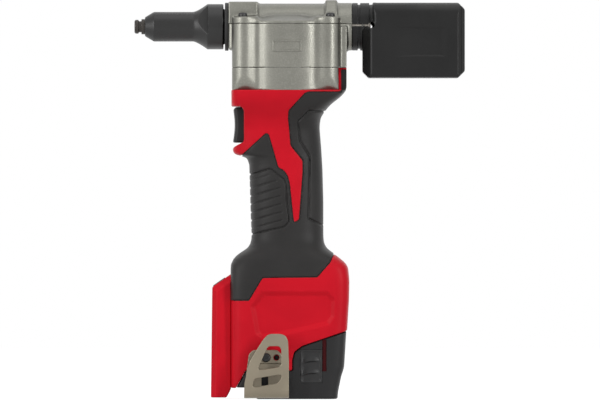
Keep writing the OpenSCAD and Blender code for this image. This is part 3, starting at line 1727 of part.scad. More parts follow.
nosepiece();
nose_sleeve();
nose_collar();
head_casting();
middle_case();
lower_case();
case_screws();
rear_spigot();
spigot_seal();
collector_bottle();
collector_end_cap();
jaw_case();
jaw_1();
jaw_2();
jaw_3();
jaw_pusher();
pusher_spring();
pull_tube();
yoke();
crank();
crank_roller();
crank_bearing();
ring_gear_low();
ring_gear_high();
carrier_a();
carrier_b();
planet_a_1();
planet_a_2();
planet_a_3();
planet_b_1();
planet_b_2();
planet_b_3();
planet_c_1();
planet_c_2();
planet_c_3();
rotor_shaft();
rotor_core();
motor_can();
motor_end_bell();
motor_magnets();
housing_left();
housing_right();
grip_left();
grip_right();
housing_screws();
front_cover();
trigger();
trigger_spring();
switch_body();
control_board();
terminal_block();
belt_hook();
hook_screw();
battery_case();
battery_stem();
battery_cells();
latch_left();
latch_right();
latch_springs();
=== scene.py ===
import json
import math
import bpy
import numpy as np
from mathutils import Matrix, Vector


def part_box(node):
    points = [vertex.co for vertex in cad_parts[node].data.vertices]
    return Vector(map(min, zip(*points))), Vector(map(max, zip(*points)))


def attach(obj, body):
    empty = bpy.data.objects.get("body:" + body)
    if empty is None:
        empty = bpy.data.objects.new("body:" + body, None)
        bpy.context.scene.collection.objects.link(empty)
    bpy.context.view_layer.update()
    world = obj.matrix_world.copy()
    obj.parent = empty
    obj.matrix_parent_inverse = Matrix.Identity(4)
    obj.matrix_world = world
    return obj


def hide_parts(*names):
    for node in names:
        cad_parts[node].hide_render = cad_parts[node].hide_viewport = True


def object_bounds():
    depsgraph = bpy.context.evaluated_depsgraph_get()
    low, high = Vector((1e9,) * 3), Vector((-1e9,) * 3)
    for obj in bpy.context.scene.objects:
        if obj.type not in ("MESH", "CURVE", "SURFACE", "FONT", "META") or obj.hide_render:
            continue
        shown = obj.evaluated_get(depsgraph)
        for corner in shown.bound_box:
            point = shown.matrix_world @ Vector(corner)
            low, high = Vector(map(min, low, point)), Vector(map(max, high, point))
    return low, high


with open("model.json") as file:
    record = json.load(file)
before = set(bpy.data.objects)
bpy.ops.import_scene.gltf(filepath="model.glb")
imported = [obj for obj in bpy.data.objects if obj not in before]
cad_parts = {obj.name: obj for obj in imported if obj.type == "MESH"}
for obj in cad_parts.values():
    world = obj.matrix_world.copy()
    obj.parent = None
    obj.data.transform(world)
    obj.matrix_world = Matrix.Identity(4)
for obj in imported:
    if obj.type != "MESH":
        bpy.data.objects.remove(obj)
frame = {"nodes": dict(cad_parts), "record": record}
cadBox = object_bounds()
print("frame loaded with", len(frame["nodes"]), "nodes")

metre = 0.001  # the shapes below are in millimetres
lowerCaseRise = 16.2  # height of the lower case above the top of the housing
past = 40.0  # how far an open cut runs on
root2 = math.sqrt(2)
sides = ((-1, "left"), (1, "right"))


def span(node):
    low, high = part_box(node)
    return np.array(low) / metre, np.array(high) / metre


# Places that several pieces share, taken from the frame
axisZ = float(sum(c[2] for c in span("nose_sleeve")) / 2)
deckZ = float(span("lower_case")[1][2] - lowerCaseRise)
midZ = float(span("middle_case")[0][2])
splitZ = float(span("head_casting")[0][2])
headFront, headRear = (float(c[0]) for c in span("head_casting"))


# Ways to join distance fields: a rounded edge, a filleted corner and a soft blend
def roundMeet(a, b, r):
    return np.minimum(np.maximum(a, b), -r) + np.hypot(np.maximum(a + r, 0), np.maximum(b + r, 0))


def roundJoin(a, b, r):
    return np.maximum(np.minimum(a, b), r) - np.hypot(np.maximum(r - a, 0), np.maximum(r - b, 0))


def softJoin(a, b, k):
    h = np.maximum(k - np.abs(a - b), 0) / k
    return np.minimum(a, b) - h * h * k / 4


def ease(low, high, v):
    t = np.clip((v - low) / (high - low), 0, 1)
    return t * t * (3 - 2 * t)


def boxField(p, low, high, r=0.0):
    low, high = np.array(low, float), np.array(high, float)
    q = np.abs(p - (low + high) / 2) - (high - low) / 2 + r
    return np.sqrt((np.maximum(q, 0) ** 2).sum(1)) + np.minimum(q.max(1), 0) - r


def slab(v, low, high):
    return np.abs(v - (low + high) / 2) - (high - low) / 2


def rodField(p, axis, centre, radius, low, high, r=0.0):
    side = [k for k in range(3) if k != axis]
    away = np.hypot(p[:, side[0]] - centre[0], p[:, side[1]] - centre[1]) - radius
    return roundMeet(away, slab(p[:, axis], low, high), r)


# Several fields at once: what they share, one with others cut out, one trimmed with rounded edges
def meet(first, *others):
    for other in others:
        first = np.maximum(first, other)
    return first


def carve(field, *cuts):
    return meet(field, *[-cut for cut in cuts])


def trim(field, *planes):
    for plane, r in planes:
        field = roundMeet(field, plane, r)
    return field


def blurLine(values, sigma):
    reach = int(math.ceil(3 * sigma))
    if reach < 1:
        return values
    kernel = np.exp(-0.5 * (np.arange(-reach, reach + 1) / sigma) ** 2)
    padded = np.concatenate([np.repeat(values[:1], reach, 0), values, np.repeat(values[-1:], reach, 0)])
    return sum(w * padded[i:i + len(values)] for i, w in enumerate(kernel / kernel.sum()))


def tableField(points, closed=True, soften=0.0, margin=12.0, pitch=0.4):
    # distance to a flat outline or stroke, kept on a fine grid and read between its points
    pts = np.array(points, float)
    low = pts.min(0) - margin
    count = np.ceil((pts.max(0) + margin - low) / pitch).astype(int) + 2
    gu, gv = np.meshgrid(*[low[k] + pitch * np.arange(count[k]) for k in range(2)], indexing="ij")
    best = np.full(gu.shape, 1e9)
    inside = np.zeros(gu.shape, bool)
    ends = np.roll(pts, -1, 0) if closed else pts[1:]
    for (au, av), (bu, bv) in zip(pts, ends):
        du, dv = bu - au, bv - av
        t = np.clip(((gu - au) * du + (gv - av) * dv) / (du * du + dv * dv), 0, 1)
        best = np.minimum(best, np.hypot(gu - au - t * du, gv - av - t * dv))
        if closed and dv != 0:
            inside ^= ((av > gv) != (bv > gv)) & (gu < du * (gv - av) / dv + au)
    table = np.where(inside, -best, best)
    if soften:
        table = blurLine(blurLine(table, soften / pitch).T, soften / pitch).T

    def read(u, v):
        fu = np.clip((u - low[0]) / pitch, 0, count[0] - 1.001)
        fv = np.clip((v - low[1]) / pitch, 0, count[1] - 1.001)
        i, j = fu.astype(int), fv.astype(int)
        fu, fv = fu - i, fv - j
        first = table[i, j] * (1 - fv) + table[i, j + 1] * fv
        return first * (1 - fu) + (table[i + 1, j] * (1 - fv) + table[i + 1, j + 1] * fv) * fu
    return read


# Surface of a field: one point per crossed cell, set on the crossing planes so that edges stay crisp
def meshField(field, low, high, step):
    size, batch = 6, 1500  # cells along a block, and blocks worked out at once
    margin, reach = 1.6, 1.5  # room round the box in steps, and how near a block has to be
    probeOff, pull = 0.04, 0.04  # spacing of the slope's probes, and the pull to the mean point
    low = np.array(low, float) - margin * step
    cells = np.ceil((np.array(high, float) + margin * step - low) / step).astype(int)
    grid = np.meshgrid(*[np.arange(-(-n // size)) for n in cells], indexing="ij")
    blocks = np.stack(grid, -1).reshape(-1, 3)
    blocks = blocks[np.abs(field(low + (blocks + 0.5) * size * step)) < reach * size * step]
    corner = np.stack(np.meshgrid(*[np.arange(size + 1)] * 3, indexing="ij"), -1).reshape(-1, 3)
    begin, along, ends = [], [], []
    for part in np.array_split(blocks, len(blocks) // batch + 1):
        at = (part[:, None] * size + corner).reshape(-1, 3)
        value = field(low + at * step).reshape(len(part), size + 1, size + 1, size + 1)
        near = value[:, :size, :size, :size]
        for axis in range(3):
            cut = [slice(1, size + 1) if k == axis else slice(0, size) for k in range(3)]
            far = value[:, cut[0], cut[1], cut[2]]
            crossed = (near < 0) != (far < 0)
            hit = np.argwhere(crossed)
            begin.append(part[hit[:, 0]] * size + hit[:, 1:])
            along.append(np.full(len(hit), axis))
            ends.append(np.stack([near[crossed], far[crossed]], 1))
    begin, along, ends = np.concatenate(begin), np.concatenate(along), np.concatenate(ends)
    unit = np.eye(3, dtype=int)
    share = ends[:, 0] / (ends[:, 0] - ends[:, 1])
    value = field(low + (begin + unit[along] * share[:, None]) * step)
    same = (value < 0) == (ends[:, 0] < 0)
    t0, v0 = np.where(same, share, 0), np.where(same, value, ends[:, 0])
    t1, v1 = np.where(same, 1, share), np.where(same, ends[:, 1], value)
    share = t0 + (t1 - t0) * v0 / np.where(v0 == v1, 1, v0 - v1)
    point = low + (begin + unit[along] * share[:, None]) * step
    normal = np.zeros_like(point)
    for way in ((1, -1, -1), (-1, -1, 1), (-1, 1, -1), (1, 1, 1)):
        normal += np.array(way) * field(point + probeOff * np.array(way))[:, None]
    normal /= np.maximum(np.linalg.norm(normal, axis=1), 1e-9)[:, None]

    second, third = unit[(along + 1) % 3], unit[(along + 2) % 3]
    around = np.stack([begin, begin - second, begin - second - third, begin - third], 1)
    wide = cells + size + 3
    key = ((around[..., 0] + 1) * wide[1] + around[..., 1] + 1) * wide[2] + around[..., 2] + 1
    _, first, quads = np.unique(key.reshape(-1), return_index=True, return_inverse=True)
    quads = quads.reshape(-1)
    count = np.bincount(quads)
    spread, facing = np.repeat(point, 4, 0), np.repeat(normal, 4, 0)
    mean = np.stack([np.bincount(quads, spread[:, k]) for k in range(3)], 1) / count[:, None]
    offset = (facing * (spread - mean[quads])).sum(1)
    square = np.zeros((len(count), 3, 3))
    right = np.zeros((len(count), 3))
    for i in range(3):
        right[:, i] = np.bincount(quads, facing[:, i] * offset)
        for j in range(3):
            square[:, i, j] = np.bincount(quads, facing[:, i] * facing[:, j])
    square += pull * count[:, None, None] * np.eye(3)
    vertex = mean + np.linalg.solve(square, right[..., None])[..., 0]
    cellLow = low + around.reshape(-1, 3)[first] * step
    vertex = np.clip(vertex, cellLow, cellLow + step)
    quads = quads.reshape(-1, 4)
    quads = np.where(ends[:, :1] < 0, quads, quads[:, ::-1])
    return vertex, quads


def newObject(name, vertex, faces, material, sharpAngle=34.0):
    mesh = bpy.data.meshes.new(name)
    if isinstance(faces, np.ndarray):
        mesh.vertices.add(len(vertex))
        mesh.vertices.foreach_set("co", (vertex * metre).astype(np.float32).ravel())
        mesh.loops.add(faces.size)
        mesh.loops.foreach_set("vertex_index", faces.astype(np.int32).ravel())
        mesh.polygons.add(len(faces))
        mesh.polygons.foreach_set("loop_start", np.arange(0, faces.size, faces.shape[1], dtype=np.int32))
        mesh.update(calc_edges=True)
    else:
        mesh.from_pydata((np.array(vertex) * metre).tolist(), [], faces)
    mesh.validate()
    mesh.polygons.foreach_set("use_smooth", np.ones(len(mesh.polygons), bool))
    mesh.set_sharp_from_angle(angle=math.radians(sharpAngle))
    piece = bpy.data.objects.new(name, mesh)
    bpy.context.scene.collection.objects.link(piece)
    piece.data.materials.append(material)
    return piece


def addPiece(name, shape, finish, body, slotName, *nodes):
    vertex, faces = shape
    vertex = np.clip(np.asarray(vertex, float), np.array(cadBox[0]) / metre, np.array(cadBox[1]) / metre)
    piece = newObject(name, vertex, faces, paint[finish])
    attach(piece, body)
    if nodes:
        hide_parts(*nodes)
    print("made", name, len(piece.data.polygons), "faces")


# Turned pieces: a closed section of places along X and radii, swept round the rivet axis
def turned(section, turns=96, bevel=0.25):
    edgeShare, straight = 0.4, -0.97  # most of an edge that a bevel takes, and a bend that is left
    pts = [np.array(s, float) for s in section]
    soft = []
    for i, here in enumerate(pts):
        before, after = pts[i - 1] - here, pts[(i + 1) % len(pts)] - here
        lb, la = np.linalg.norm(before), np.linalg.norm(after)
        cut = min(bevel, lb * edgeShare, la * edgeShare)
        bend = np.dot(before, after) / (lb * la)
        if bend < straight:
            soft.append(here)
            continue
        a, b = here + before / lb * cut, here + after / la * cut
        soft += [a, (a + b) / 4 + here / 2, b]
    soft = np.array(soft)
    turn = np.arange(turns) * 2 * math.pi / turns
    vertex = np.stack([np.repeat(soft[:, 0], turns), np.outer(soft[:, 1], np.cos(turn)).ravel(),
                       axisZ + np.outer(soft[:, 1], np.sin(turn)).ravel()], 1)
    i = np.arange(len(soft))[:, None] * turns
    j = np.arange(turns)[None]
    k, n = (i + turns) % (len(soft) * turns), (j + 1) % turns
    quads = np.stack([i + j, i + n, k + n, k + j], -1).reshape(-1, 4)
    return vertex, quads


# Camera: side-on through a long lens, 440 mm across the picture at the mid-plane
cameraSetup = {"acrossMm": 439.8, "awayMm": 9000.0, "centreX": 8.8, "centreZ": 145.5, "sensor": 36.0,
               "clip": (0.05, 50.0)}


def placeCamera(s):
    data = bpy.data.cameras.new("camera")
    data.sensor_fit = "HORIZONTAL"
    data.sensor_width = s["sensor"]
    data.lens = s["sensor"] * s["awayMm"] / s["acrossMm"]
    data.clip_start, data.clip_end = s["clip"]
    camera = bpy.data.objects.new("camera", data)
    camera.location = (s["centreX"] * metre, -s["awayMm"] * metre, s["centreZ"] * metre)
    camera.rotation_euler = (math.pi / 2, 0, 0)
    bpy.context.scene.collection.objects.link(camera)
    bpy.context.scene.camera = camera


placeCamera(cameraSetup)
bpy.context.scene.view_settings.view_transform = "Standard"
print("camera placed")


# Node helpers
def link(tree, source, target):
    tree.links.new(source, target)


def newNode(tree, kind, **values):
    node = tree.nodes.new(kind)
    for name, value in values.items():
        setattr(node, name, value)
    return node


def mathNode(tree, operation, first, second):
    node = newNode(tree, "ShaderNodeMath", operation=operation)
    for socket, value in zip(node.inputs, (first, second)):
        if isinstance(value, (int, float)):
            socket.default_value = value
        else:
            link(tree, value, socket)
    return node.outputs[0]


def startGroup(name, inputs, outputs):
    tree = bpy.data.node_groups.new(name, "ShaderNodeTree")
    for label, value in inputs.items():
        socket = tree.interface.new_socket(label, in_out="INPUT", socket_type="NodeSocketFloat")
        socket.default_value = value
    for label in outputs:
        tree.interface.new_socket(label, in_out="OUTPUT", socket_type="NodeSocketFloat")
    return tree, newNode(tree, "NodeGroupInput").outputs, newNode(tree, "NodeGroupOutput").inputs


def rangeNode(tree, value, low, high):
    node = newNode(tree, "ShaderNodeMapRange", interpolation_type="SMOOTHSTEP")
    link(tree, value, node.inputs["Value"])
    for label, part in (("From Min", low), ("From Max", high)):
        if isinstance(part, (int, float)):
            node.inputs[label].default_value = part
        else:
            link(tree, part, node.inputs[label])
    return node.outputs["Result"]


# Grain: fine pores for a height, and slow clouds for tone and gloss
def makeGrain():
    tree, given, out = startGroup("surfaceGrain", {"Fine Scale": 900, "Cloud Scale": 40}, ["Height", "Cloud"])
    place = newNode(tree, "ShaderNodeTexCoord").outputs["Object"]
    for label, scale, detail in (("Height", "Fine Scale", 3.0), ("Cloud", "Cloud Scale", 4.0)):
        noise = newNode(tree, "ShaderNodeTexNoise")
        noise.inputs["Detail"].default_value = detail
        link(tree, place, noise.inputs["Vector"])
        link(tree, given[scale], noise.inputs["Scale"])
        link(tree, noise.outputs["Fac"], out[label])
    return tree


# Edge wear: convex edges, broken up by noise; on the cast alloy it also serves as painted highlight along
# edges
def makeWear():
    tree, given, out = startGroup("edgeWear", {"Start": 0.54, "Full": 0.62, "Break Scale": 300}, ["Mask"])
    place = newNode(tree, "ShaderNodeTexCoord").outputs["Object"]
    bend = newNode(tree, "ShaderNodeNewGeometry").outputs["Pointiness"]
    noise = newNode(tree, "ShaderNodeTexNoise")
    link(tree, place, noise.inputs["Vector"])
    link(tree, given["Break Scale"], noise.inputs["Scale"])
    edge = rangeNode(tree, bend, given["Start"], given["Full"])
    broken = rangeNode(tree, noise.outputs["Fac"], 0.3, 0.62)
    link(tree, mathNode(tree, "MULTIPLY", edge, broken), out["Mask"])
    return tree


# Dust: a thin film on what faces up, thicker in slow patches
def makeDust():
    tree, given, out = startGroup("dustFilm", {"Patch Scale": 25}, ["Mask"])
    facing = newNode(tree, "ShaderNodeSeparateXYZ")
    link(tree, newNode(tree, "ShaderNodeNewGeometry").outputs["Normal"], facing.inputs[0])
    noise = newNode(tree, "ShaderNodeTexNoise")
    link(tree, newNode(tree, "ShaderNodeTexCoord").outputs["Object"], noise.inputs["Vector"])
    link(tree, given["Patch Scale"], noise.inputs["Scale"])
    up = rangeNode(tree, facing.outputs["Z"], 0.3, 1.0)
    patch = rangeNode(tree, noise.outputs["Fac"], 0.35, 0.75)
    link(tree, mathNode(tree, "MULTIPLY", up, patch), out["Mask"])
    return tree


# Tool lines of turned and ground metal, across X
def makeLines():
    tree, given, out = startGroup("toolLines", {"Line Scale": 1800}, ["Height"])
    stretch = newNode(tree, "ShaderNodeMapping")
    stretch.inputs["Scale"].default_value = (1, 0.02, 0.02)
    link(tree, newNode(tree, "ShaderNodeTexCoord").outputs["Object"], stretch.inputs["Vector"])
    noise = newNode(tree, "ShaderNodeTexNoise")
    noise.inputs["Detail"].default_value = 2.0
    link(tree, stretch.outputs[0], noise.inputs["Vector"])
    link(tree, given["Line Scale"], noise.inputs["Scale"])
    link(tree, noise.outputs["Fac"], out["Height"])
    return tree


groups = {"grain": makeGrain(), "wear": makeWear(), "dust": makeDust(), "lines": makeLines()}


def placeGroup(tree, name, **values):
    node = newNode(tree, "ShaderNodeGroup", node_tree=groups[name])
    for label, value in values.items():
        node.inputs[label.replace("_", " ")].default_value = value
    return node.outputs


def mixColour(tree, mask, first, second):
    node = newNode(tree, "ShaderNodeMix", data_type="RGBA")
    sockets = [s for s in node.inputs if s.type == "RGBA"]
    link(tree, mask, node.inputs["Factor"])
    for socket, value in zip(sockets, (first, second)):
        if isinstance(value, tuple):
            socket.default_value = (*value, 1)
        else:
            link(tree, value, socket)
    return [s for s in node.outputs if s.type == "RGBA"][0]


dustTone = (0.42, 0.4, 0.37)


# One finish: clouded colour, worn edges, dust, and a roughness and bump from the grain
def makeFinish(name, s):
    material = bpy.data.materials.new(name)
    material.use_nodes = True
    tree = material.node_tree
    shader = tree.nodes["Principled BSDF"]
    shader.inputs["Metallic"].default_value = s.get("metallic", 0.0)
    shader.inputs["Specular IOR Level"].default_value = s.get("specular", 0.5)
    if "coat" in s:
        shader.inputs["Coat Weight"].default_value = s["coat"]
        shader.inputs["Coat Roughness"].default_value = 0.3
    grain = placeGroup(tree, "grain", Fine_Scale=s.get("fineScale", 1200))
    clouding, spread = s.get("clouding", 0.06), s.get("roughSpread", 0.05)
    darker = tuple(c * (1 - clouding) for c in s["colour"])
    lighter = tuple(min(c * (1 + clouding), 1) for c in s["colour"])
    colour = mixColour(tree, rangeNode(tree, grain["Cloud"], 0.3, 0.7), darker, lighter)
    if s.get("speckle"):
        speck = rangeNode(tree, grain["Height"], 0.42, 0.72)
        colour = mixColour(tree, mathNode(tree, "MULTIPLY", speck, s["speckle"]), colour, s["speckleColour"])
    if s.get("wear"):
        wear = placeGroup(tree, "wear", Start=0.535)["Mask"]
        colour = mixColour(tree, mathNode(tree, "MULTIPLY", wear, s["wear"]), colour, s["wearColour"])
    if s.get("dust"):
        film = placeGroup(tree, "dust")["Mask"]
        colour = mixColour(tree, mathNode(tree, "MULTIPLY", film, s["dust"]), colour, dustTone)
    link(tree, colour, shader.inputs["Base Color"])
    gloss = newNode(tree, "ShaderNodeMapRange")
    link(tree, grain["Cloud"], gloss.inputs["Value"])
    gloss.inputs["From Min"].default_value, gloss.inputs["From Max"].default_value = 0.3, 0.7
    gloss.inputs["To Min"].default_value = s["rough"] - spread
    gloss.inputs["To Max"].default_value = s["rough"] + spread
    link(tree, gloss.outputs["Result"], shader.inputs["Roughness"])
    bump = newNode(tree, "ShaderNodeBump")
    bump.inputs["Strength"].default_value = s["bump"]
    bump.inputs["Distance"].default_value = 0.0003
    height = placeGroup(tree, "lines", Line_Scale=s["lines"])["Height"] if "lines" in s else grain["Height"]
    link(tree, height, bump.inputs["Height"])
    link(tree, bump.outputs["Normal"], shader.inputs["Normal"])
    return material


finishes = {
    "redPlastic": {"colour": (0.64, 0.0095, 0.022), "rough": 0.38, "specular": 0.07, "clouding": 0.04,
                   "fineScale": 1500, "bump": 0.16, "wear": 0.25, "wearColour": (0.75, 0.08, 0.09),
                   "dust": 0.05},
    "gripRubber": {"colour": (0.021, 0.02, 0.0195), "rough": 0.44, "specular": 0.22, "clouding": 0.12,
                   "fineScale": 1700, "bump": 0.35, "wear": 0.3, "wearColour": (0.08, 0.075, 0.07),
                   "dust": 0.06},
    # lighter convex edges of the castings: partly worn metal, partly painted highlight along rims such as the
    # flange's edge
    "castAlloy": {"colour": (0.205, 0.203, 0.178), "rough": 0.36, "roughSpread": 0.06, "metallic": 0.88,
                  "clouding": 0.08, "fineScale": 1100, "bump": 0.32, "speckle": 0.3,
                  "speckleColour": (0.34, 0.335, 0.3), "wear": 0.5, "wearColour": (0.5, 0.49, 0.45)},
    "noseBlack": {"colour": (0.004, 0.0039, 0.0038), "rough": 0.36, "lines": 2600, "bump": 0.03,
                  "wear": 0.1, "wearColour": (0.1, 0.095, 0.09)},
    "tipSteel": {"colour": (0.05, 0.045, 0.04), "rough": 0.34, "metallic": 0.4, "specular": 0.3,
                 "lines": 3000, "bump": 0.1, "wear": 0.6, "wearColour": (0.25, 0.24, 0.22)},
    "collectorPlastic": {"colour": (0.008, 0.008, 0.008), "rough": 0.38, "specular": 0.26, "clouding": 0.08,
                         "fineScale": 1300, "bump": 0.22, "wear": 0.35, "wearColour": (0.09, 0.09, 0.09),
                         "dust": 0.08},
    "batteryPlastic": {"colour": (0.014, 0.014, 0.0145), "rough": 0.48, "specular": 0.25, "clouding": 0.1,
                       "fineScale": 1300, "bump": 0.3, "wear": 0.35, "wearColour": (0.09, 0.09, 0.09),
                       "dust": 0.08},
    "latchPlastic": {"colour": (0.015, 0.015, 0.0155), "rough": 0.38, "specular": 0.35, "fineScale": 1500,
                     "bump": 0.2, "wear": 0.3, "wearColour": (0.1, 0.1, 0.1)},
    "triggerPlastic": {"colour": (0.018, 0.0175, 0.0175), "rough": 0.45, "specular": 0.25, "fineScale": 1600,
                       "bump": 0.25, "wear": 0.4, "wearColour": (0.1, 0.1, 0.1), "dust": 0.06},
    "hookMetal": {"colour": (0.25, 0.217, 0.16), "rough": 0.42, "metallic": 0.55, "clouding": 0.07,
                  "fineScale": 900, "bump": 0.14, "wear": 0.4, "wearColour": (0.36, 0.32, 0.25)},
    "screwSteel": {"colour": (0.2, 0.2, 0.2), "rough": 0.28, "metallic": 1.0, "fineScale": 2200, "bump": 0.06,
                   "wear": 0.4, "wearColour": (0.6, 0.6, 0.6)},
    "blackScrew": {"colour": (0.012, 0.012, 0.012), "rough": 0.32, "specular": 0.4, "fineScale": 2200,
                   "bump": 0.08},
    "darkScrew": {"colour": (0.05, 0.05, 0.05), "rough": 0.35, "metallic": 0.9, "fineScale": 2200,
                  "bump": 0.08, "wear": 0.4, "wearColour": (0.3, 0.3, 0.3)},
    # spigot metal darkened as painted shade, for where it shows through the collector's slit
    "shadedSpigotAlloy": {"colour": (0.3, 0.28, 0.25), "rough": 0.36, "metallic": 1.0, "lines": 2400, "bump": 0.08},
    "sealRubber": {"colour": (0.018, 0.018, 0.018), "rough": 0.6, "fineScale": 1800, "bump": 0.15},
    "greySeal": {"colour": (0.4, 0.39, 0.36), "rough": 0.5, "fineScale": 1800, "bump": 0.1},
    "groundSteel": {"colour": (0.5, 0.5, 0.5), "rough": 0.25, "metallic": 1.0, "lines": 2600, "bump": 0.06},
    "hardSteel": {"colour": (0.36, 0.36, 0.37), "rough": 0.32, "metallic": 1.0, "fineScale": 2000,
                  "bump": 0.06},
    "springSteel": {"colour": (0.48, 0.48, 0.5), "rough": 0.3, "metallic": 1.0, "fineScale": 2000,
                    "bump": 0.05},
    "bearingBronze": {"colour": (0.5, 0.3, 0.12), "rough": 0.36, "metallic": 1.0, "fineScale": 1500,
                      "bump": 0.08},
    "gearSteel": {"colour": (0.4, 0.4, 0.41), "rough": 0.33, "metallic": 1.0, "fineScale": 1800,
                  "bump": 0.08},
    "woundCore": {"colour": (0.42, 0.15, 0.05), "rough": 0.4, "metallic": 0.8, "lines": 1500, "bump": 0.3},
    "motorSteel": {"colour": (0.42, 0.42, 0.43), "rough": 0.3, "metallic": 1.0, "fineScale": 1500,
                   "bump": 0.05},
    "ferrite": {"colour": (0.05, 0.05, 0.055), "rough": 0.55, "fineScale": 1400, "bump": 0.2},
    "innerBlack": {"colour": (0.03, 0.03, 0.032), "rough": 0.5, "fineScale": 1500, "bump": 0.2},
    "boardGreen": {"colour": (0.015, 0.11, 0.04), "rough": 0.35, "fineScale": 1200, "bump": 0.15,
                   "coat": 0.3},
    "cellWrap": {"colour": (0.03, 0.12, 0.36), "rough": 0.3, "fineScale": 800, "bump": 0.05},
    # red of the marker strip, darkened as painted shade at the bottom of its slot
    "shadedMarkRed": {"colour": (0.05, 0.004, 0.005), "rough": 0.5, "specular": 0.1, "fineScale": 1400,
                "bump": 0.1},
    "lampGlass": {"colour": (0.8, 0.8, 0.78), "rough": 0.12, "fineScale": 500, "bump": 0.04, "coat": 0.5},
}
paint = {name: makeFinish(name, s) for name, s in finishes.items()}
print("finishes made:", len(paint))


# Handle form: silhouette lines of front, rear and half width up the handle, and how square its section is
handle = {
    "front": [(0, 41.7), (95, 41.7), (98.2, 41.5), (102.3, 39.6), (105, 37), (107, 34.2), (108.8, 31.4),
              (110.5, 29.2), (113.4, 27.4), (116.5, 26.6), (120, 26.4), (134, 27), (151, 27.5), (168, 28),
              (171.3, 28.1), (174.8, 29.2), (176.3, 30.2), (177.3, 32), (177.9, 34.5), (178.3, 37),
              (179.2, 38.9), (180.5, 40), (182.4, 40.4), (186, 40.8), (215, 41.4), (240, 41.5)],
    "rear": [(0, 36.9), (4.5, 37.2), (16.5, 39.6), (22.6, 41.7), (33.9, 42.4), (49.9, 43.3), (72.1, 44.7),
             (86.1, 45), (96, 44.1), (99.5, 42.2), (102.3, 38.6), (105.1, 35.2), (107.4, 31.6), (109.6, 28.5),
             (111.9, 27), (114.4, 26), (120, 25.6), (145, 25.6), (168, 25), (184, 24), (198.9, 22.8),
             (206.1, 23.7), (212, 27.8), (216.1, 31.4), (221, 38), (224, 41), (227.5, 42.9), (240, 42.9)],
    "width": [(0, 28.5), (16.5, 29.3), (33.9, 30), (49.9, 30.5), (72.1, 30.9), (86.1, 31), (94.9, 30.2),
              (101, 28.5), (105.1, 26.5), (109.6, 23.4), (114.4, 21.3), (120, 20.5), (176, 20.5), (198.9, 22),
              (206.1, 24.9), (212, 29), (216.1, 31.8), (221, 34.6), (226, 36), (240, 36)],
    "power": [(0, 8), (86.1, 8), (94.9, 7), (101, 5.6), (107, 4.2), (112, 3.3), (120, 2.6), (185, 2.6),
              (198.9, 2.8), (210, 4.2), (218, 8), (240, 8)],
    "soften": {"front": 0.45, "rear": 1.6, "width": 2.2, "power": 3.0},
    "reach": (-12, 252), "pitch": 0.25,
}


def handleTable(s):
    pitch = s["pitch"]
    z = np.arange(*s["reach"], pitch)
    line = {}
    for name, soften in s["soften"].items():
        places, values = zip(*s[name])
        line[name] = blurLine(np.interp(z, places, values), soften / pitch)
    mid = (line["rear"] - line["front"]) / 2
    half = (line["rear"] + line["front"]) / 2
    rises = [np.gradient(values, pitch) for values in (mid, half, line["width"])]
    return z, np.stack([mid, half, line["width"], line["power"], *rises], 1)


handleZ, handleRows = handleTable(handle)


def handleField(p):
    tiny = 1e-9
    at = np.clip((p[:, 2] - handleZ[0]) / handle["pitch"], 0, len(handleRows) - 1.001)
    row = at.astype(int)
    part = (at - row)[:, None]
    mid, half, wide, power, midRise, halfRise, wideRise = (
        handleRows[row] * (1 - part) + handleRows[row + 1] * part).T
    off = p[:, 0] - mid
    u, v = np.abs(off) / half, np.abs(p[:, 1]) / wide
    rho = np.maximum(u ** power + v ** power, tiny) ** (1 / power)
    gu, gv = (u / rho) ** (power - 1), (v / rho) ** (power - 1)
    rise = -gu * (np.sign(off) * midRise + u * halfRise) / half - gv * v * wideRise / wide
    return (rho - 1) / np.sqrt((gu / half) ** 2 + (gv / wide) ** 2 + rise ** 2 + tiny)


# Outlines seen from the side, X and Z
gripShape = {
    "edge": [(60, 246), (60, 107.4), (33, 105.9), (30.8, 100.1), (21.3, 89.3), (-18.7, 88.8), (-28.6, 72.2),
             (-60, 72.2), (-60, 174.9), (-34.5, 177.4), (-16.1, 194.2), (-14.3, 193.5), (-7.3, 169.3),
             (-2.9, 166.8), (-0.4, 163.1), (1.1, 157.2), (4, 129.4), (4.8, 128.6), (8.4, 131.2), (11, 166),
             (11, 174.5), (2.2, 185.4), (0.4, 205.6), (0.7, 210.7), (12.4, 223.4), (15, 224.4), (38.9, 224.4),
             (38.9, 246)],
    "ribs": [(-40, 161), (-26.3, 164.7), (-12.8, 168.5), (-2.6, 160.2), (-1.2, 155.5), (-0.9, 144.4),
             (0.6, 133.9), (0.6, 129.2), (-2.6, 126), (-22.8, 121.3), (-40, 117.8)],
    "rearLine": [(26.4, 210.4), (15, 210.7), (7.3, 203), (8.8, 188.4), (15.8, 177.8), (16.1, 174.8),
                 (15, 132), (24.9, 127.2)],
    "proud": 0.3, "layer": 1.25, "gap": 0.38, "gapNarrow": 0.12, "gapFade": (-41.5, -38.5), "edgeRound": 1.6,
    "skirt": 0.5, "skirtPlay": 0.06, "ribPitch": 6.0, "ribDepth": 0.6, "ribSlope": 0.28, "ribFrom": 0.62,
    "ribFade": (3.2, 5.0), "borderDepth": 0.85, "borderWide": 0.65, "borderFade": (-34, -28),
    "lineDepth": 0.95, "lineWide": 0.7, "topRound": 0.3, "screwRound": 0.4,
    "padX": (38.95, 42.9), "padFoot": 1.5, "padTop": 1.4, "padSlope": 0.7, "padSlopeFrom": 1.0,
    "padRound": 1.0, "padJoin": 0.6, "step": 0.6, "box": ((-45, -38, 68), (46, 38, midZ)),
}
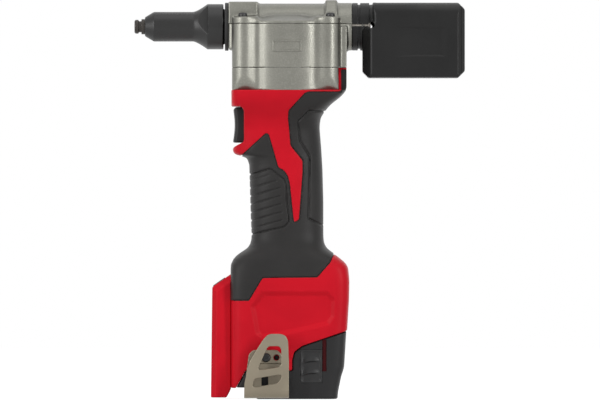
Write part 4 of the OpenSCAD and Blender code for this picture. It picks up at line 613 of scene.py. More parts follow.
baseShape = {
    "rim": [(-38.1, -6), (-38.1, 8), (-30.8, 21), (3, 21), (3, 28), (4.5, 34.5), (10.5, 39), (44.6, 50.5),
            (89, 62), (89, -6)],
    "panel": [(-19.1, 78.8), (29.3, 78.8), (34.5, 72.9), (34.5, 59.7), (30, 53.9), (-2.9, 46.5),
              (-19.1, 43.6), (-23.5, 47.3), (-27.5, 67.8)],
    "notch": [(-60, 214.4), (-38.9, 214), (-35.1, 214), (-33.3, 213.1), (-32.2, 210.5), (-32.2, 189.5),
              (-33, 187.7), (-36.2, 186.2), (-39.2, 184.5), (-41.2, 182.6), (-60, 182.6)],
    "panelDepth": 2.0, "panelWall": 3.4, "panelFade": (10, 16), "bottom": 8.0, "wall": 4.3, "floor": 24.0,
    "roof": 4.0, "gap": 0.6, "bedPlay": 0.1, "bedRound": 1.45, "topRound": 0.7, "footRound": 0.9,
    "rimRound": 0.8, "slotRound": 0.9, "seamRound": 0.35, "halfSeam": 0.05, "halfOver": 0.4,
    "slotRear": -23.2, "slotHalf": 9.4, "slotPlay": (1.0, 0.4),
    "stemPlay": 0.5, "stemRound": 3.0, "wellWall": 2.4, "wellDrop": 2.0,
    "tongueRoom": ((-10.5, -26.5, -20), (5, 26.5, 33.5)), "collarRoomR": 24.8, "collarRoomZ": (-8.0, 5.0),
    "upstandX": (37, 38.9), "upstandHalf": 13.0, "upstandFoot": 2.0, "upstandRound": 0.2,
    "upstandClear": 38.15, "lipRear": 42.9, "lipThick": 1.2, "lipPlay": 0.1, "lipRound": 0.3,
    "spareHole": (-8.4, 30.4), "spareHoleR": 1.7, "spareHoleY": (-40, -24),
    "screws": [(-33.6, 219.7), (-18.3, 148.0), (12.0, 126.6), (-30.6, 96.7), (33.0, 93.8)], "screwR": 3.1,
    "screwDeep": 3.0, "step": 0.805, "box": ((-43.5, -37, 6.5), (46, 37, midZ)),
}
gripEdge = tableField(gripShape["edge"], soften=0.7)
ribEdge = tableField(gripShape["ribs"], soften=0.5)
rearStroke = tableField(gripShape["rearLine"], closed=False)
rimEdge = tableField(baseShape["rim"], soften=0.5)
panelEdge = tableField(baseShape["panel"], soften=0.5)
notchEdge = tableField(baseShape["notch"], soften=0.4)
stemLow, stemHigh = span("battery_stem")
triggerLow, triggerHigh = span("trigger")


# Half the width of the groove round the grip, closing up at the front of the handle
def grooveGap(x):
    narrow = gripShape["gapNarrow"]
    return gripShape["gap"] * (narrow + (1 - narrow) * ease(*gripShape["gapFade"], x))


def triggerSlot(p):
    s = baseShape
    return boxField(p, (-2 * past, -s["slotHalf"], triggerLow[2] - s["slotPlay"][0]),
                    (s["slotRear"], s["slotHalf"], triggerHigh[2] + s["slotPlay"][1]))


# Room in the housing for the motor, the battery's stem and tongue, the gear head's collar and the spare hole
def housingRooms(p, form):
    s = baseShape
    z = p[:, 2]
    wall, play = s["wellWall"], s["stemPlay"]
    well = boxField(p, stemLow - (wall, wall, past), stemHigh + (wall, wall, -s["wellDrop"]))
    return [meet(form + s["wall"], s["floor"] - z, z - deckZ + s["roof"], -well),
            boxField(p, stemLow - (play, play, past), stemHigh + play, s["stemRound"]),
            boxField(p, *s["tongueRoom"]),
            rodField(p, 2, (0, 0), s["collarRoomR"], *[deckZ + rise for rise in s["collarRoomZ"]]),
            rodField(p, 1, s["spareHole"], s["spareHoleR"], *s["spareHoleY"])]


# Upstand behind the gear head, with a lip under the head's web
def upstandField(p):
    s = baseShape
    half, top, front = s["upstandHalf"], midZ - s["lipPlay"], s["upstandX"][0]
    post = boxField(p, (front, -half, deckZ - s["upstandFoot"]), (s["upstandX"][1], half, top),
                    s["upstandRound"])
    lip = boxField(p, (front, -half, top - s["lipThick"]), (s["lipRear"], half, top), s["lipRound"])
    return np.maximum(np.minimum(post, lip), s["upstandClear"] - np.hypot(p[:, 0], p[:, 1]))


def housingField(p, side):
    s = baseShape
    x, y, z = p.T
    form, gap = handleField(p), grooveGap(x)
    press = np.clip(-panelEdge(x, z) / s["panelWall"], 0, 1) * ease(*s["panelFade"], np.abs(y))
    bed = np.minimum(gap - gripEdge(x, z), form + gripShape["layer"] + s["bedPlay"])
    d = trim(form + s["panelDepth"] * press, (bed, s["bedRound"] * gap), (z - deckZ, s["topRound"]),
             (s["bottom"] - z, s["footRound"]), (-rimEdge(x, z), s["rimRound"]),
             (-notchEdge(x, z), s["rimRound"]), (-triggerSlot(p), s["slotRound"]))
    d = np.minimum(carve(d, *housingRooms(p, form)), upstandField(p))
    if side > 0:
        for sx, sz in s["screws"]:
            hole = np.minimum(s["screwR"] - np.hypot(x - sx, z - sz), form + s["screwDeep"])
            d = roundMeet(d, hole, s["seamRound"])
    return roundMeet(d, s["halfSeam"] - side * y, s["seamRound"])


def gripField(p, side):
    s = gripShape
    x, y, z = p.T
    form, ribs, edge, gap = handleField(p), ribEdge(x, z), gripEdge(x, z), grooveGap(x)
    step = (z - s["ribSlope"] * x) / s["ribPitch"]
    step = np.abs(step - np.floor(step) - 0.5) * 2
    relief = s["ribDepth"] * ease(s["ribFrom"], 1, step) * ease(*s["ribFade"], -ribs)
    relief += s["borderDepth"] * np.exp(-(ribs / s["borderWide"]) ** 2) * ease(*s["borderFade"], x)
    relief += s["lineDepth"] * np.exp(-(rearStroke(x, z) / s["lineWide"]) ** 2)
    d = roundMeet(form - s["proud"] + relief, edge + gap, s["edgeRound"] * gap)
    d = np.minimum(d, np.maximum(form + s["skirt"], edge - gap + s["skirtPlay"]))
    d = roundMeet(carve(d, form + s["layer"]), z - deckZ, s["topRound"])
    (front, rear), half = s["padX"], baseShape["upstandHalf"]
    pad = boxField(p, (front, -half, deckZ - s["padFoot"]), (rear, half, midZ - s["padTop"]), s["topRound"])
    slope = x - rear + s["padSlope"] * (deckZ + s["padSlopeFrom"] - z)
    pad = roundMeet(pad, slope / math.hypot(1, s["padSlope"]), s["padRound"])
    d = roundJoin(carve(d, triggerSlot(p)), pad, s["padJoin"])
    if side > 0:
        for sx, sz in baseShape["screws"]:
            d = roundMeet(d, baseShape["screwR"] - np.hypot(x - sx, z - sz), s["screwRound"])
    return roundMeet(d, baseShape["halfSeam"] - side * y, s["topRound"])


def sideBox(side, low, high):
    low, high = list(low), list(high)
    if side < 0:
        high[1] = baseShape["halfOver"]
    else:
        low[1] = -baseShape["halfOver"]
    return low, high


for side, word in sides:
    shape = meshField(lambda p: housingField(p, side), *sideBox(side, *baseShape["box"]), baseShape["step"])
    addPiece("housing-" + word, shape, "redPlastic", "tool_body", "red_plastic", "housing_" + word)
    shape = meshField(lambda p: gripField(p, side), *sideBox(side, *gripShape["box"]), gripShape["step"])
    addPiece("grip-" + word, shape, "gripRubber", "tool_body", "grip_rubber", "grip_" + word)


# Front cover of the base, with a small lamp on its sloped top
coverShape = {"chamfer": 3.4, "topBevel": 4.4, "bevelRound": 0.5, "slope": 9.5, "footIn": 3.2, "footUp": 6.0,
              "edge": 0.9, "rear": -41.75, "front": 0.3, "lean": 0.012, "rearRoom": 1.5, "step": 0.6,
              "lampX": (-53.6, -47.4), "lampHalf": 7.0, "lampDeep": 1.2, "lampRound": 0.35, "bezelWall": 1.2,
              "bezelRise": 0.5, "bezelOpen": 2.0, "lensPlay": 0.1, "lensRise": 0.65,
              "lampBox": ((-56, -10, 78), (-45, 10, 92)), "lampStep": 0.3}
coverLow, coverHigh = span("front_cover")


def coverPlane(x, z):
    rise = coverShape["slope"] / (coverHigh[0] - coverLow[0])
    return (z - coverHigh[2] - (x - coverHigh[0]) * rise) / math.hypot(1, rise)


def coverField(p):
    s = coverShape
    x, y, z = p.T
    front = coverLow[0] + s["front"] + s["lean"] * z
    wide, top = np.abs(y) - coverHigh[1], coverPlane(x, z)
    foot = (x - s["rear"]) * s["footUp"] - (z - coverLow[2] - s["footUp"]) * s["footIn"]
    return trim(front - x, (x - s["rear"], s["edge"]), (wide, s["edge"]),
                ((front + s["chamfer"] - x + wide) / root2, s["bevelRound"]), (top, s["edge"]),
                ((top + wide + s["topBevel"]) / root2, s["bevelRound"]), (coverLow[2] - z, s["edge"]),
                (foot / math.hypot(s["footUp"], s["footIn"]), s["edge"]))


def lampField(p, grow, rise):
    s = coverShape
    x, y, z = p.T
    half = s["lampHalf"] + grow
    flat = np.stack([x, y, coverPlane(x, z)], 1)
    return boxField(flat, (s["lampX"][0] - grow, -half, -s["lampDeep"]), (s["lampX"][1] + grow, half, rise),
                    s["lampRound"])


def bezelField(p):
    s = coverShape
    return carve(lampField(p, s["bezelWall"], s["bezelRise"]), lampField(p, 0, s["bezelOpen"]))


def lensField(p):
    return lampField(p, -coverShape["lensPlay"], coverShape["lensRise"])


shape = meshField(coverField, coverLow, coverHigh + (coverShape["rearRoom"], 0, 0), coverShape["step"])
addPiece("front-cover", shape, "redPlastic", "tool_body", "red_plastic", "front_cover")
for name, field, finish in (("lamp-bezel", bezelField, "innerBlack"), ("lamp-lens", lensField, "lampGlass")):
    shape = meshField(field, *coverShape["lampBox"], coverShape["lampStep"])
    addPiece(name, shape, finish, "tool_body", "inner_black")


# Trigger: dished front, rounded edges, plunger behind
triggerShape = {"dish": 1.3, "bow": 0.012, "edge": 2.2, "endRound": 1.2, "bodyBack": -30.1, "backRound": 0.4,
                "plungerR": 2.8, "plungerFrom": -31.0, "cut": 2.2, "cutRound": 0.8, "drop": 0.7,
                "dropRoom": 1.0, "step": 0.4}


def triggerField(p):
    s = triggerShape
    x, y, z = p.T
    low, high = triggerLow - (0, 0, s["drop"]), triggerHigh
    t = np.clip((z - low[2]) / (high[2] - low[2]), 0, 1)
    faceX = low[0] + s["dish"] * np.sin(math.pi * t) + s["bow"] * y ** 2
    lever = trim(faceX - x, (np.abs(y) - high[1], s["edge"]), (slab(z, low[2], high[2]), s["endRound"]),
                 ((low[0] + s["cut"] - x + z - high[2]) / root2, s["cutRound"]),
                 (x - s["bodyBack"], s["backRound"]))
    middle = (0, (low[2] + high[2]) / 2)
    return np.minimum(lever, rodField(p, 0, middle, s["plungerR"], s["plungerFrom"], high[0], s["backRound"]))


triggerFoot = triggerLow - (0, 0, triggerShape["dropRoom"])
shape = meshField(triggerField, triggerFoot, triggerHigh, triggerShape["step"])
addPiece("trigger-lever", shape, "triggerPlastic", "trigger_lever", "trigger_black", "trigger")


# Gear head: three cast shells on one plan, parted by fine seams
headShape = {
    "barrelR": 38.0, "halfWide": 36.0, "planRound": 3.0, "bossX": (-33.0, 31.0), "bossY": 25.0,
    "bossBlend": 6.0, "padX": (-31.6, 29.2), "padR": 9.3, "padRound": 1.1, "bossLean": 27.0, "bossFoot": 6.0,
    "bossRound": 2.0, "bossRear": 36.8, "bossRearRound": 0.3, "crown": 0.235, "crownReach": 19.0,
    "flange": 5.0, "flangeEdge": 1.9, "flangeRound": 1.3, "seamRound": 0.5, "seamGap": 0.06,
    "tubeR": 17.0, "tubeX": (-43.5, 36.5), "tubeRound": 0.5, "rearTubeR": 17.4, "rearTubeIn": 3.0,
    "rearTubeLen": 24.0, "rearTubeRound": 0.6, "blockRear": -22.0, "blockHalf": 18.6, "blockTop": 18.1,
    "blockReach": 30.0, "blockRound": 1.1, "blockJoin": 2.0, "ribX": (26.8, 36.6), "ribHalf": 19.0,
    "ribTop": 19.5, "ribLean": 0.03, "ribRound": 1.2, "ribChamfer": 9.0, "ribChamferRound": 2.0,
    "ribJoin": 1.6, "rearJoin": 1.2, "fillet": 2.6, "frontRear": -20.0, "frontRound": 1.5, "frontBlend": 5.0,
    "webFront": 20.0, "webHalf": 23.0, "webRear": 42.9, "webFoot": 2.0, "webOver": 3.0, "webEdge": 1.0,
    "webBlend": 1.6, "webRound": 0.6, "webTubeJoin": 2.5, "screwPlay": 2.3, "screwDeep": 10.0,
    "bores": [(12.9, -43.6, -29.6), (8.8, -44.0, 4.0), (8.0, 0.0, 48.0)], "spigotBore": 14.7,
    "spigotDeep": 12.0, "roomHalf": 8.9, "roomEnd": 1.0, "roomFoot": 9.0, "roomTop": 0.5,
    "ringPlay": 0.1, "ringFoot": 0.2, "ringOver": 5.0, "shaftR": 6.4, "shaftFrom": 200.0,
    "collarR": 24.3, "collarIn": 2.0, "collarRound": 0.4, "step": 0.6,
}
ringHigh, ringLow = span("ring_gear_high"), span("ring_gear_low")
yokeLow, yokeHigh = span("yoke")
pullStroke = 20.0


def bossPlan(x, y, s):
    return np.minimum(*[np.hypot(x - px, np.abs(y) - s["bossY"]) - s["padR"] for px in s["padX"]])


def barrelPlan(x, y, s):
    return roundMeet(np.hypot(x, y) - s["barrelR"], np.abs(y) - s["halfWide"], s["planRound"])


def axisBores(p):
    s = headShape
    x, y, z = p.T
    away = np.hypot(y, z - axisZ)
    bore = np.maximum(away - s["spigotBore"], headRear - s["spigotDeep"] - x)
    for r, front, rear in s["bores"]:
        bore = np.minimum(bore, np.maximum(away - r, slab(x, front, rear)))
    return bore


def screwBores(p, s):
    x, y, _ = p.T
    return np.minimum(*[np.hypot(x - bx, np.abs(y) - s["bossY"]) - s["screwPlay"] for bx in s["bossX"]])


def headField(p):
    s = headShape
    x, y, z = p.T
    barrel, pad = barrelPlan(x, y, s), bossPlan(x, y, s)
    rise = s["flangeEdge"] + s["crown"] * np.clip(-barrel, 0, s["crownReach"])
    d = roundMeet(barrel, z - splitZ - rise, s["flangeRound"])
    d = softJoin(d, roundMeet(pad, z - splitZ - s["flange"], s["padRound"]), s["bossBlend"])
    away = np.hypot(y, z - axisZ)
    tube = roundMeet(away - s["tubeR"], slab(x, *s["tubeX"]), s["tubeRound"])
    rearFrom = s["ribX"][1] - s["rearTubeIn"]
    rear = roundMeet(away - s["rearTubeR"], slab(x, rearFrom, headRear), s["rearTubeRound"])
    block = boxField(p, (headFront, -s["blockHalf"], axisZ - s["blockReach"]),
                     (s["blockRear"], s["blockHalf"], axisZ + s["blockTop"]), s["blockRound"])
    over = z - axisZ - s["ribTop"]
    rib = trim(slab(x, *s["ribX"]) + s["ribLean"] * (z - axisZ), (np.abs(y) - s["ribHalf"], s["ribRound"]),
               (over, s["ribRound"]),
               ((np.abs(y) + over - s["ribHalf"] + s["ribChamfer"]) / root2, s["ribChamferRound"]))
    for other, r in ((block, s["blockJoin"]), (rib, s["ribJoin"]), (rear, s["rearJoin"])):
        tube = roundJoin(tube, other, r)
    d = roundMeet(roundJoin(d, tube, s["fillet"]), splitZ + s["seamGap"] - z, s["seamRound"])
    room = boxField(p, (yokeLow[0] - s["roomEnd"], -s["roomHalf"], splitZ - s["roomFoot"]),
                    (yokeHigh[0] + pullStroke + s["roomEnd"], s["roomHalf"], yokeHigh[2] + s["roomTop"]))
    return carve(d, axisBores(p), room, screwBores(p, s))


def middleField(p):
    s = headShape
    x, y, z = p.T
    plan = softJoin(barrelPlan(x, y, s), bossPlan(x, y, s), s["bossBlend"])
    front = boxField(p, (headFront, -s["blockHalf"], axisZ - s["tubeR"]),
                     (s["frontRear"], s["blockHalf"], axisZ + s["blockReach"]), s["frontRound"])
    web = boxField(p, (s["webFront"], -s["webHalf"], midZ - s["webFoot"]),
                   (s["webRear"] + s["webOver"], s["webHalf"], axisZ), s["webEdge"])
    d = softJoin(softJoin(plan, front, s["frontBlend"]), web, s["webBlend"])
    d = roundMeet(d, x - s["webRear"], s["webRound"])
    rear = roundMeet(np.hypot(y, z - axisZ) - s["rearTubeR"], slab(x, headRear - s["rearTubeLen"], headRear),
                     s["rearTubeRound"])
    d = trim(roundJoin(d, rear, s["webTubeJoin"]), (z - splitZ + s["seamGap"], s["seamRound"]),
             (midZ + s["seamGap"] - z, s["seamRound"]))
    cavity = np.hypot(x, y) - (ringHigh[1][0] + s["ringPlay"])
    return carve(d, cavity, axisBores(p), screwBores(p, s))


def lowerField(p):
    s = headShape
    x, y, z = p.T
    lean, inside = math.radians(s["bossLean"]), -9.0
    scoop = (np.abs(y) - s["bossY"] - s["bossFoot"]) * math.cos(lean) - (z - deckZ) * math.sin(lean)
    boss = roundMeet(bossPlan(x, y, s), scoop, s["bossRound"])
    bossEnd = np.where(np.hypot(x, y) > s["barrelR"], x - s["bossRear"], inside)
    d = trim(softJoin(barrelPlan(x, y, s), boss, s["bossBlend"]), (bossEnd, s["bossRearRound"]),
             (z - midZ + s["seamGap"], s["seamRound"]), (deckZ - z, s["seamRound"]))
    foot, top = span("lower_case")[0][2], midZ + s["ringOver"]
    d = np.minimum(d, rodField(p, 2, (0, 0), s["collarR"], foot, deckZ + s["collarIn"], s["collarRound"]))
    rooms = [(ring[1][0] + s["ringPlay"], ring[0][2] - s["ringFoot"]) for ring in (ringHigh, ringLow)]
    rooms.append((s["shaftR"], s["shaftFrom"]))
    d = carve(d, *[rodField(p, 2, (0, 0), r, start, top) for r, start in rooms])
    return carve(d, np.maximum(screwBores(p, s), midZ - s["screwDeep"] - z))


for word, field in (("head-casting", headField), ("middle-case", middleField), ("lower-case", lowerField)):
    node = word.replace("-", "_")
    shape = meshField(field, *span(node), headShape["step"])
    addPiece(word, shape, "castAlloy", "tool_body", "cast_alloy", node)


# Bare plate with a raised rim on the gear head's side
plateShape = {"x": (-11.6, 10.0), "y": (-37.0, -34.5), "z": (254.1, 262.3), "rim": 1.3, "rise": 0.8,
              "bedRise": 0.1, "sunk": 1.2, "round": 0.5, "open": 3.0, "bedRound": 0.15, "rimRound": 0.35,
              "step": 0.25}


def plateField(p):
    s = plateShape
    (x0, x1), (z0, z1), rim = s["x"], s["z"], s["rim"]
    face = -headShape["halfWide"]
    d = boxField(p, (x0, face - s["rise"], z0), (x1, face + s["sunk"], z1), s["round"])
    bed = boxField(p, (x0 + rim, face - s["open"], z0 + rim), (x1 - rim, face - s["bedRise"], z1 - rim),
                   s["bedRound"])
    return roundMeet(d, -bed, s["rimRound"])


plateBox = zip(plateShape["x"], plateShape["y"], plateShape["z"])
shape = meshField(plateField, *plateBox, plateShape["step"])
addPiece("head-plate", shape, "castAlloy", "tool_body", "cast_alloy")


# Screws: button heads with hex sockets
def hexField(u, v, size):
    turns = [math.radians(60 * k) for k in range(3)]
    return meet(*[np.abs(u * math.cos(turn) + v * math.sin(turn)) - size for turn in turns])


caseScrew = {"headR": 3.3, "headH": 3.0, "dome": 1.6, "footUp": 0.1, "footRound": 0.3, "socket": 1.3,
             "socketDepth": 1.7, "shankR": 1.9, "shankIn": 0.5, "step": 0.25}


def caseScrewField(p):
    s = caseScrew
    x, y, z = p.T
    low, high = span("case_screws")
    head = high[2] - s["headH"]
    front, rear = headShape["bossX"]
    u, v = x - np.where(x < (front + rear) / 2, front, rear), np.abs(y) - headShape["bossY"]
    r = np.hypot(u, v)
    d = trim(r - s["headR"], (z - high[2], s["dome"]), (head + s["footUp"] - z, s["footRound"]))
    d = np.minimum(d, meet(r - s["shankR"], low[2] - z, z - head - s["shankIn"]))
    return carve(d, np.maximum(hexField(u, v, s["socket"]), high[2] - s["socketDepth"] - z))


shape = meshField(caseScrewField, *span("case_screws"), caseScrew["step"])
addPiece("case-screws", shape, "darkScrew", "tool_body", "screw_steel", "case_screws")

# Nose: screw-in tip, sleeve with flare and wrench flats, collar
noseShape = {
    "tipBlunt": [(0.0, 0.9), (0.5, 0.25), (1.1, 0.0)], "tipR": 5.1, "tipLen": 2.9, "neckSlope": 0.35,
    "neckR": 4.1, "neckEnd": 5.1, "shoulderR": 5.6, "shoulderGap": 0.1, "threadR": 5.0, "threadLen": 7.0,
    "bore": 1.65, "tailR": 2.4, "sleeveR": 10.85, "coneR": 6.9, "coneLen": 6.6, "lead": 0.8, "leadRoom": 1.0,
    "seat": 8.5, "flareR": 16.6, "flareFrom": -69.4, "flareTo": -59.0, "flareBend": 1.35, "flareSteps": 10,
    "flareGap": 1.1, "flatTurn": -22.6, "flatOff": 12.2, "flatX": (-69.0, -58.4), "flatRound": 0.25,
    "sleeveBore": 8.4, "spigotR": 12.8, "collarBore": 12.95, "collarBevel": 0.5, "step": 0.42,
}
tipLow, tipHigh = span("nosepiece")
sleeveLow, sleeveHigh = span("nose_sleeve")
collarLow, collarHigh = span("nose_collar")


def tipSection(s):
    tip, rear, neck = tipLow[0], tipHigh[0], tipLow[0] + s["neckEnd"]
    mouth = sleeveLow[0] - s["shoulderGap"]
    tail = sleeveLow[0] + s["threadLen"]
    return [(tip, s["bore"])] + [(tip + along, s["tipR"] - less) for along, less in s["tipBlunt"]] + [
        (tip + s["tipLen"], s["tipR"]), (tip + s["tipLen"] + s["neckSlope"], s["neckR"]), (neck, s["neckR"]),
        (neck, s["shoulderR"]), (mouth, s["shoulderR"]), (mouth, s["threadR"]), (tail, s["threadR"]),
        (tail, s["tailR"]), (rear, s["tailR"]), (rear, s["bore"])]


def sleeveOutline(s):
    front, rear = sleeveLow[0] - s["lead"], sleeveHigh[0]
    back, seat = collarLow[0] - s["flareGap"], sleeveLow[0] - s["lead"] + s["seat"]
    flare = [(s["flareFrom"] + (s["flareTo"] - s["flareFrom"]) * t,
              s["sleeveR"] + (s["flareR"] - s["sleeveR"]) * t ** s["flareBend"])
             for t in np.linspace(0, 1, s["flareSteps"] + 1)]
    return [(front, s["threadR"]), (front, s["coneR"]), (front + s["coneLen"], s["sleeveR"])] + flare + [
        (back, s["flareR"]), (back, s["spigotR"]), (rear, s["spigotR"]), (rear, s["sleeveBore"]),
        (seat, s["sleeveBore"]), (seat, s["threadR"])]


sleeveEdge = tableField(sleeveOutline(noseShape), pitch=0.2, soften=0.4)


def sleeveField(p):
    s = noseShape
    x, y, z = p.T
    turn = math.radians(s["flatTurn"])
    off = np.abs(y * math.cos(turn) + (z - axisZ) * math.sin(turn)) - s["flatOff"]
    flats = np.maximum(-off, slab(x, *s["flatX"]))
    return roundMeet(sleeveEdge(x, np.hypot(y, z - axisZ)), -flats, s["flatRound"])


def collarSection(s):
    low, high, inner, outer = collarLow[0], collarHigh[0], s["collarBore"], collarHigh[1]
    return [(low, inner), (low, outer), (high, outer), (high, inner)]


addPiece("nosepiece", turned(tipSection(noseShape)), "tipSteel", "tool_body", "nose_black", "nosepiece")
shape = meshField(sleeveField, sleeveLow - (noseShape["leadRoom"], 0, 0), sleeveHigh, noseShape["step"])
addPiece("nose-sleeve", shape, "noseBlack", "tool_body", "nose_black", "nose_sleeve")
shape = turned(collarSection(noseShape), bevel=noseShape["collarBevel"])
addPiece("nose-collar", shape, "sealRubber", "tool_body", "nose_black", "nose_collar")

# Mandrel collector: grooved neck on the spigot, box with chamfered ends, end cap
collectorShape = {
    "neckR": 17.4, "neckBore": 15.0, "neckStart": 0.1, "neckIn": 2.0, "neckRound": 0.4, "neckJoin": 1.2,
    "boreEnd": 90.0, "rings": (4.1, 1.8, 6.6, 2.9), "grooveDepth": 1.2, "grooveRound": 0.35,
    "boxFront": 54.2, "half": 24.0, "edge": 1.0, "topRound": 10.0, "lowRound": 3.0, "chamferLow": 4.8,
    "chamferEnd": 5.2, "wall": 2.0, "cutBack": 62.3, "cutRound": 0.6, "ridge": (61.0, 64.0),
    "shoulder": (-3.0, 4.0), "capLen": 3.2, "capRound": 0.4, "capGap": 0.1, "lipPlay": 0.15, "lipWall": 1.6,
    "lipOver": 0.5, "slitHalf": 0.8, "slitEnd": 61.0, "slitZ": 273.5, "slitRound": 0.2, "holeR": 2.4,
    "holeIn": 9.0, "wayR": 1.1, "wayOff": (0.3, 0.6), "panelFade": (70, 100), "panelEnd": 118.7,
    "panelZ": (250.0, 272.4), "panelSide": (15, 18), "panelDepth": 1.2, "panelWall": 2.2, "step": 0.6,
    "capStep": 0.5,
}
bottleLow, bottleHigh = span("collector_bottle")
capLow, capHigh = span("collector_end_cap")


def boxSide(s):
    x0, x1, top, low = s["boxFront"], capHigh[0], bottleHigh[2], bottleLow[2]
    c, e = s["chamferLow"], s["chamferEnd"]
    return [(x0, top), (x1 - e, top), (x1, top - e), (x1, low + e), (x1 - e, low), (x0 + c, low),
            (x0, low + c)]


def boxPlan(s):
    x0, x1, w, e = s["boxFront"], capHigh[0], s["half"], s["chamferEnd"]
    near = [(x0, w - e), (x0 + e, w), (x1 - e, w), (x1, w - e)]
    return near + [(x, -y) for x, y in reversed(near)]


collectorSide = tableField(boxSide(collectorShape), soften=0.5)
collectorPlan = tableField(boxPlan(collectorShape), soften=0.5)


def roundedCorner(a, b, r):
    return np.hypot(np.maximum(a + r, 0), np.maximum(b + r, 0)) - r


def collectorBox(p, inset):
    s = collectorShape
    x, y, z = p.T
    d = roundMeet(collectorSide(x, z), collectorPlan(x, y), s["edge"])
    wide = np.abs(y) - s["half"]
    over = roundedCorner(wide, z - bottleHigh[2], s["topRound"])
    return meet(d, over, roundedCorner(wide, bottleLow[2] - z, s["lowRound"])) + inset


# Shallow panels in the collector's sides, deepening towards the rear
def collectorPanel(x, y, z, s):
    wall = s["panelWall"]
    inX = ease(*s["panelFade"], x) * ease(0, 4 * wall, s["panelEnd"] - x)
    inZ = ease(0, wall, -slab(z, *s["panelZ"]))
    return s["panelDepth"] * np.minimum(inX, inZ) * ease(*s["panelSide"], np.abs(y))


def neckField(x, away, s):
    start = headRear + s["neckStart"]
    g0, g1, g2, g3 = start + np.cumsum(s["rings"])
    neck = roundMeet(away - s["neckR"], slab(x, start, g3 + s["neckIn"]), s["neckRound"])
    for groove in ((g0, g1), (g2, g3)):
        ring = np.maximum(slab(x, *groove), s["neckR"] - s["grooveDepth"] - away)
        neck = roundMeet(neck, -ring, s["grooveRound"])
    return neck


# Slit in the neck, with a round hole at its end on the near side and a narrow way through
def slitField(x, y, z, s):
    u, v = x - s["slitEnd"], z - s["slitZ"]
    slit = np.maximum(np.abs(v) - s["slitHalf"], u)
    hole = np.maximum(np.hypot(u, v) - s["holeR"], s["holeIn"] + y)
    way = np.hypot(u + s["wayOff"][0], v + s["wayOff"][1]) - s["wayR"]
    return np.minimum(np.minimum(slit, hole), way)


def bottleField(p):
    s = collectorShape
    x, y, z = p.T
    away = np.hypot(y, z - axisZ)
    upper = ease(*[axisZ + rise for rise in s["shoulder"]], z)
    front = s["boxFront"] + (s["cutBack"] - s["boxFront"]) * upper
    ridge = s["ridge"][0] + (s["ridge"][1] - s["ridge"][0]) * upper
    slope = (np.abs(y) - s["half"] - x + ridge) / root2
    box = trim(collectorBox(p, 0) + collectorPanel(x, y, z, s), (front - x, s["cutRound"]),
               (slope, s["edge"]), (x - capHigh[0] + s["capLen"], s["capRound"]))
    inner = meet(collectorBox(p, s["wall"]), front - x + s["wall"], slope + s["wall"])
    d = roundJoin(box, neckField(x, away, s), s["neckJoin"])
    d = carve(d, inner, np.maximum(away - s["neckBore"], x - s["boreEnd"]))
    return roundMeet(d, -slitField(x, y, z, s), s["slitRound"])


def capField(p):
    s = collectorShape
    x = p[:, 0]
    joint = capHigh[0] - s["capLen"]
    d = roundMeet(collectorBox(p, 0), joint + s["capGap"] - x, s["capRound"])
    lip = meet(collectorBox(p, s["wall"] + s["lipPlay"]), capLow[0] - x, x - joint - s["lipOver"])
    return np.minimum(d, carve(lip, collectorBox(p, s["wall"] + s["lipWall"])))


for word, field, step in (("bottle", bottleField, "step"), ("end-cap", capField, "capStep")):
    node = "collector_" + word.replace("-", "_")
    shape = meshField(field, *span(node), collectorShape[step])
    addPiece("collector-" + word, shape, "collectorPlastic", "collector", "collector_black", node)

# Belt hook: drawn flat as a sheet, then bent round its lower edge
hookShape = {
    "plate": [(-32, 2.2), (-31.8, 11.4), (-28.3, 26.8), (-23.7, 34.8), (-18.4, 43.2), (-15.4, 46.6),
              (-13, 47.8), (-4.9, 47.8), (-1.9, 46.6), (0.1, 43), (0.7, 28), (0.7, 2.2)],
    "window": [(-15, 37.9), (-13.6, 38.8), (-7, 38.8), (-5.4, 37.9), (-4.8, 35.5), (-4.8, 25.5), (-6.6, 23.5),
               (-21, 21.3), (-21.9, 22.4), (-16.4, 34.9)],
    "slot": [(-24.8, 14.4), (-23.7, 15.2), (-6.3, 18), (-4.8, 18), (-4.6, 16), (-7.6, 11.7), (-13.6, 10.8),
             (-23.4, 8.7), (-25.4, 8.9), (-25.6, 10.3)],
    "leg": (-28.6, -4.6), "legTop": 36.0, "legCut": 3.2, "legTaper": 22.0, "bendStart": 4.0,
    "jog": 0.55, "jogZ": 26.3, "jogRun": 8.0, "jogStep": 0.7, "legHole": (-16.9, 13.2),
    "legHoleHalf": (2.4, 3.2), "holes": [((-16.1, 30.4), 1.9), (baseShape["spareHole"], 2.2)],
    "bendZ": 6.8, "midR": 5.0, "thick": 2.0, "edge": 0.45, "plateRoom": 48.2, "step": 0.42,
}
hookLow = span("belt_hook")[0]


# Outline of the flat sheet: the plate down to the bend, then the leg up the other side
def hookOutline(s, turn):
    bend, (legLeft, legRight), cut = s["bendZ"], s["leg"], s["legCut"]
    left, right, start = s["plate"][0][0], s["plate"][-1][0], s["bendStart"]
    top = turn + s["legTop"] - bend
    plate = [(x, bend - z) for x, z in s["plate"][1:-1]]
    leg = [(right, turn), (legRight, turn + s["legTaper"]), (legRight, top - cut), (legRight - cut, top),
           (legLeft + cut, top), (legLeft, top - cut), (left, turn)]
    return [(left, start)] + plate + [(right, start)] + leg


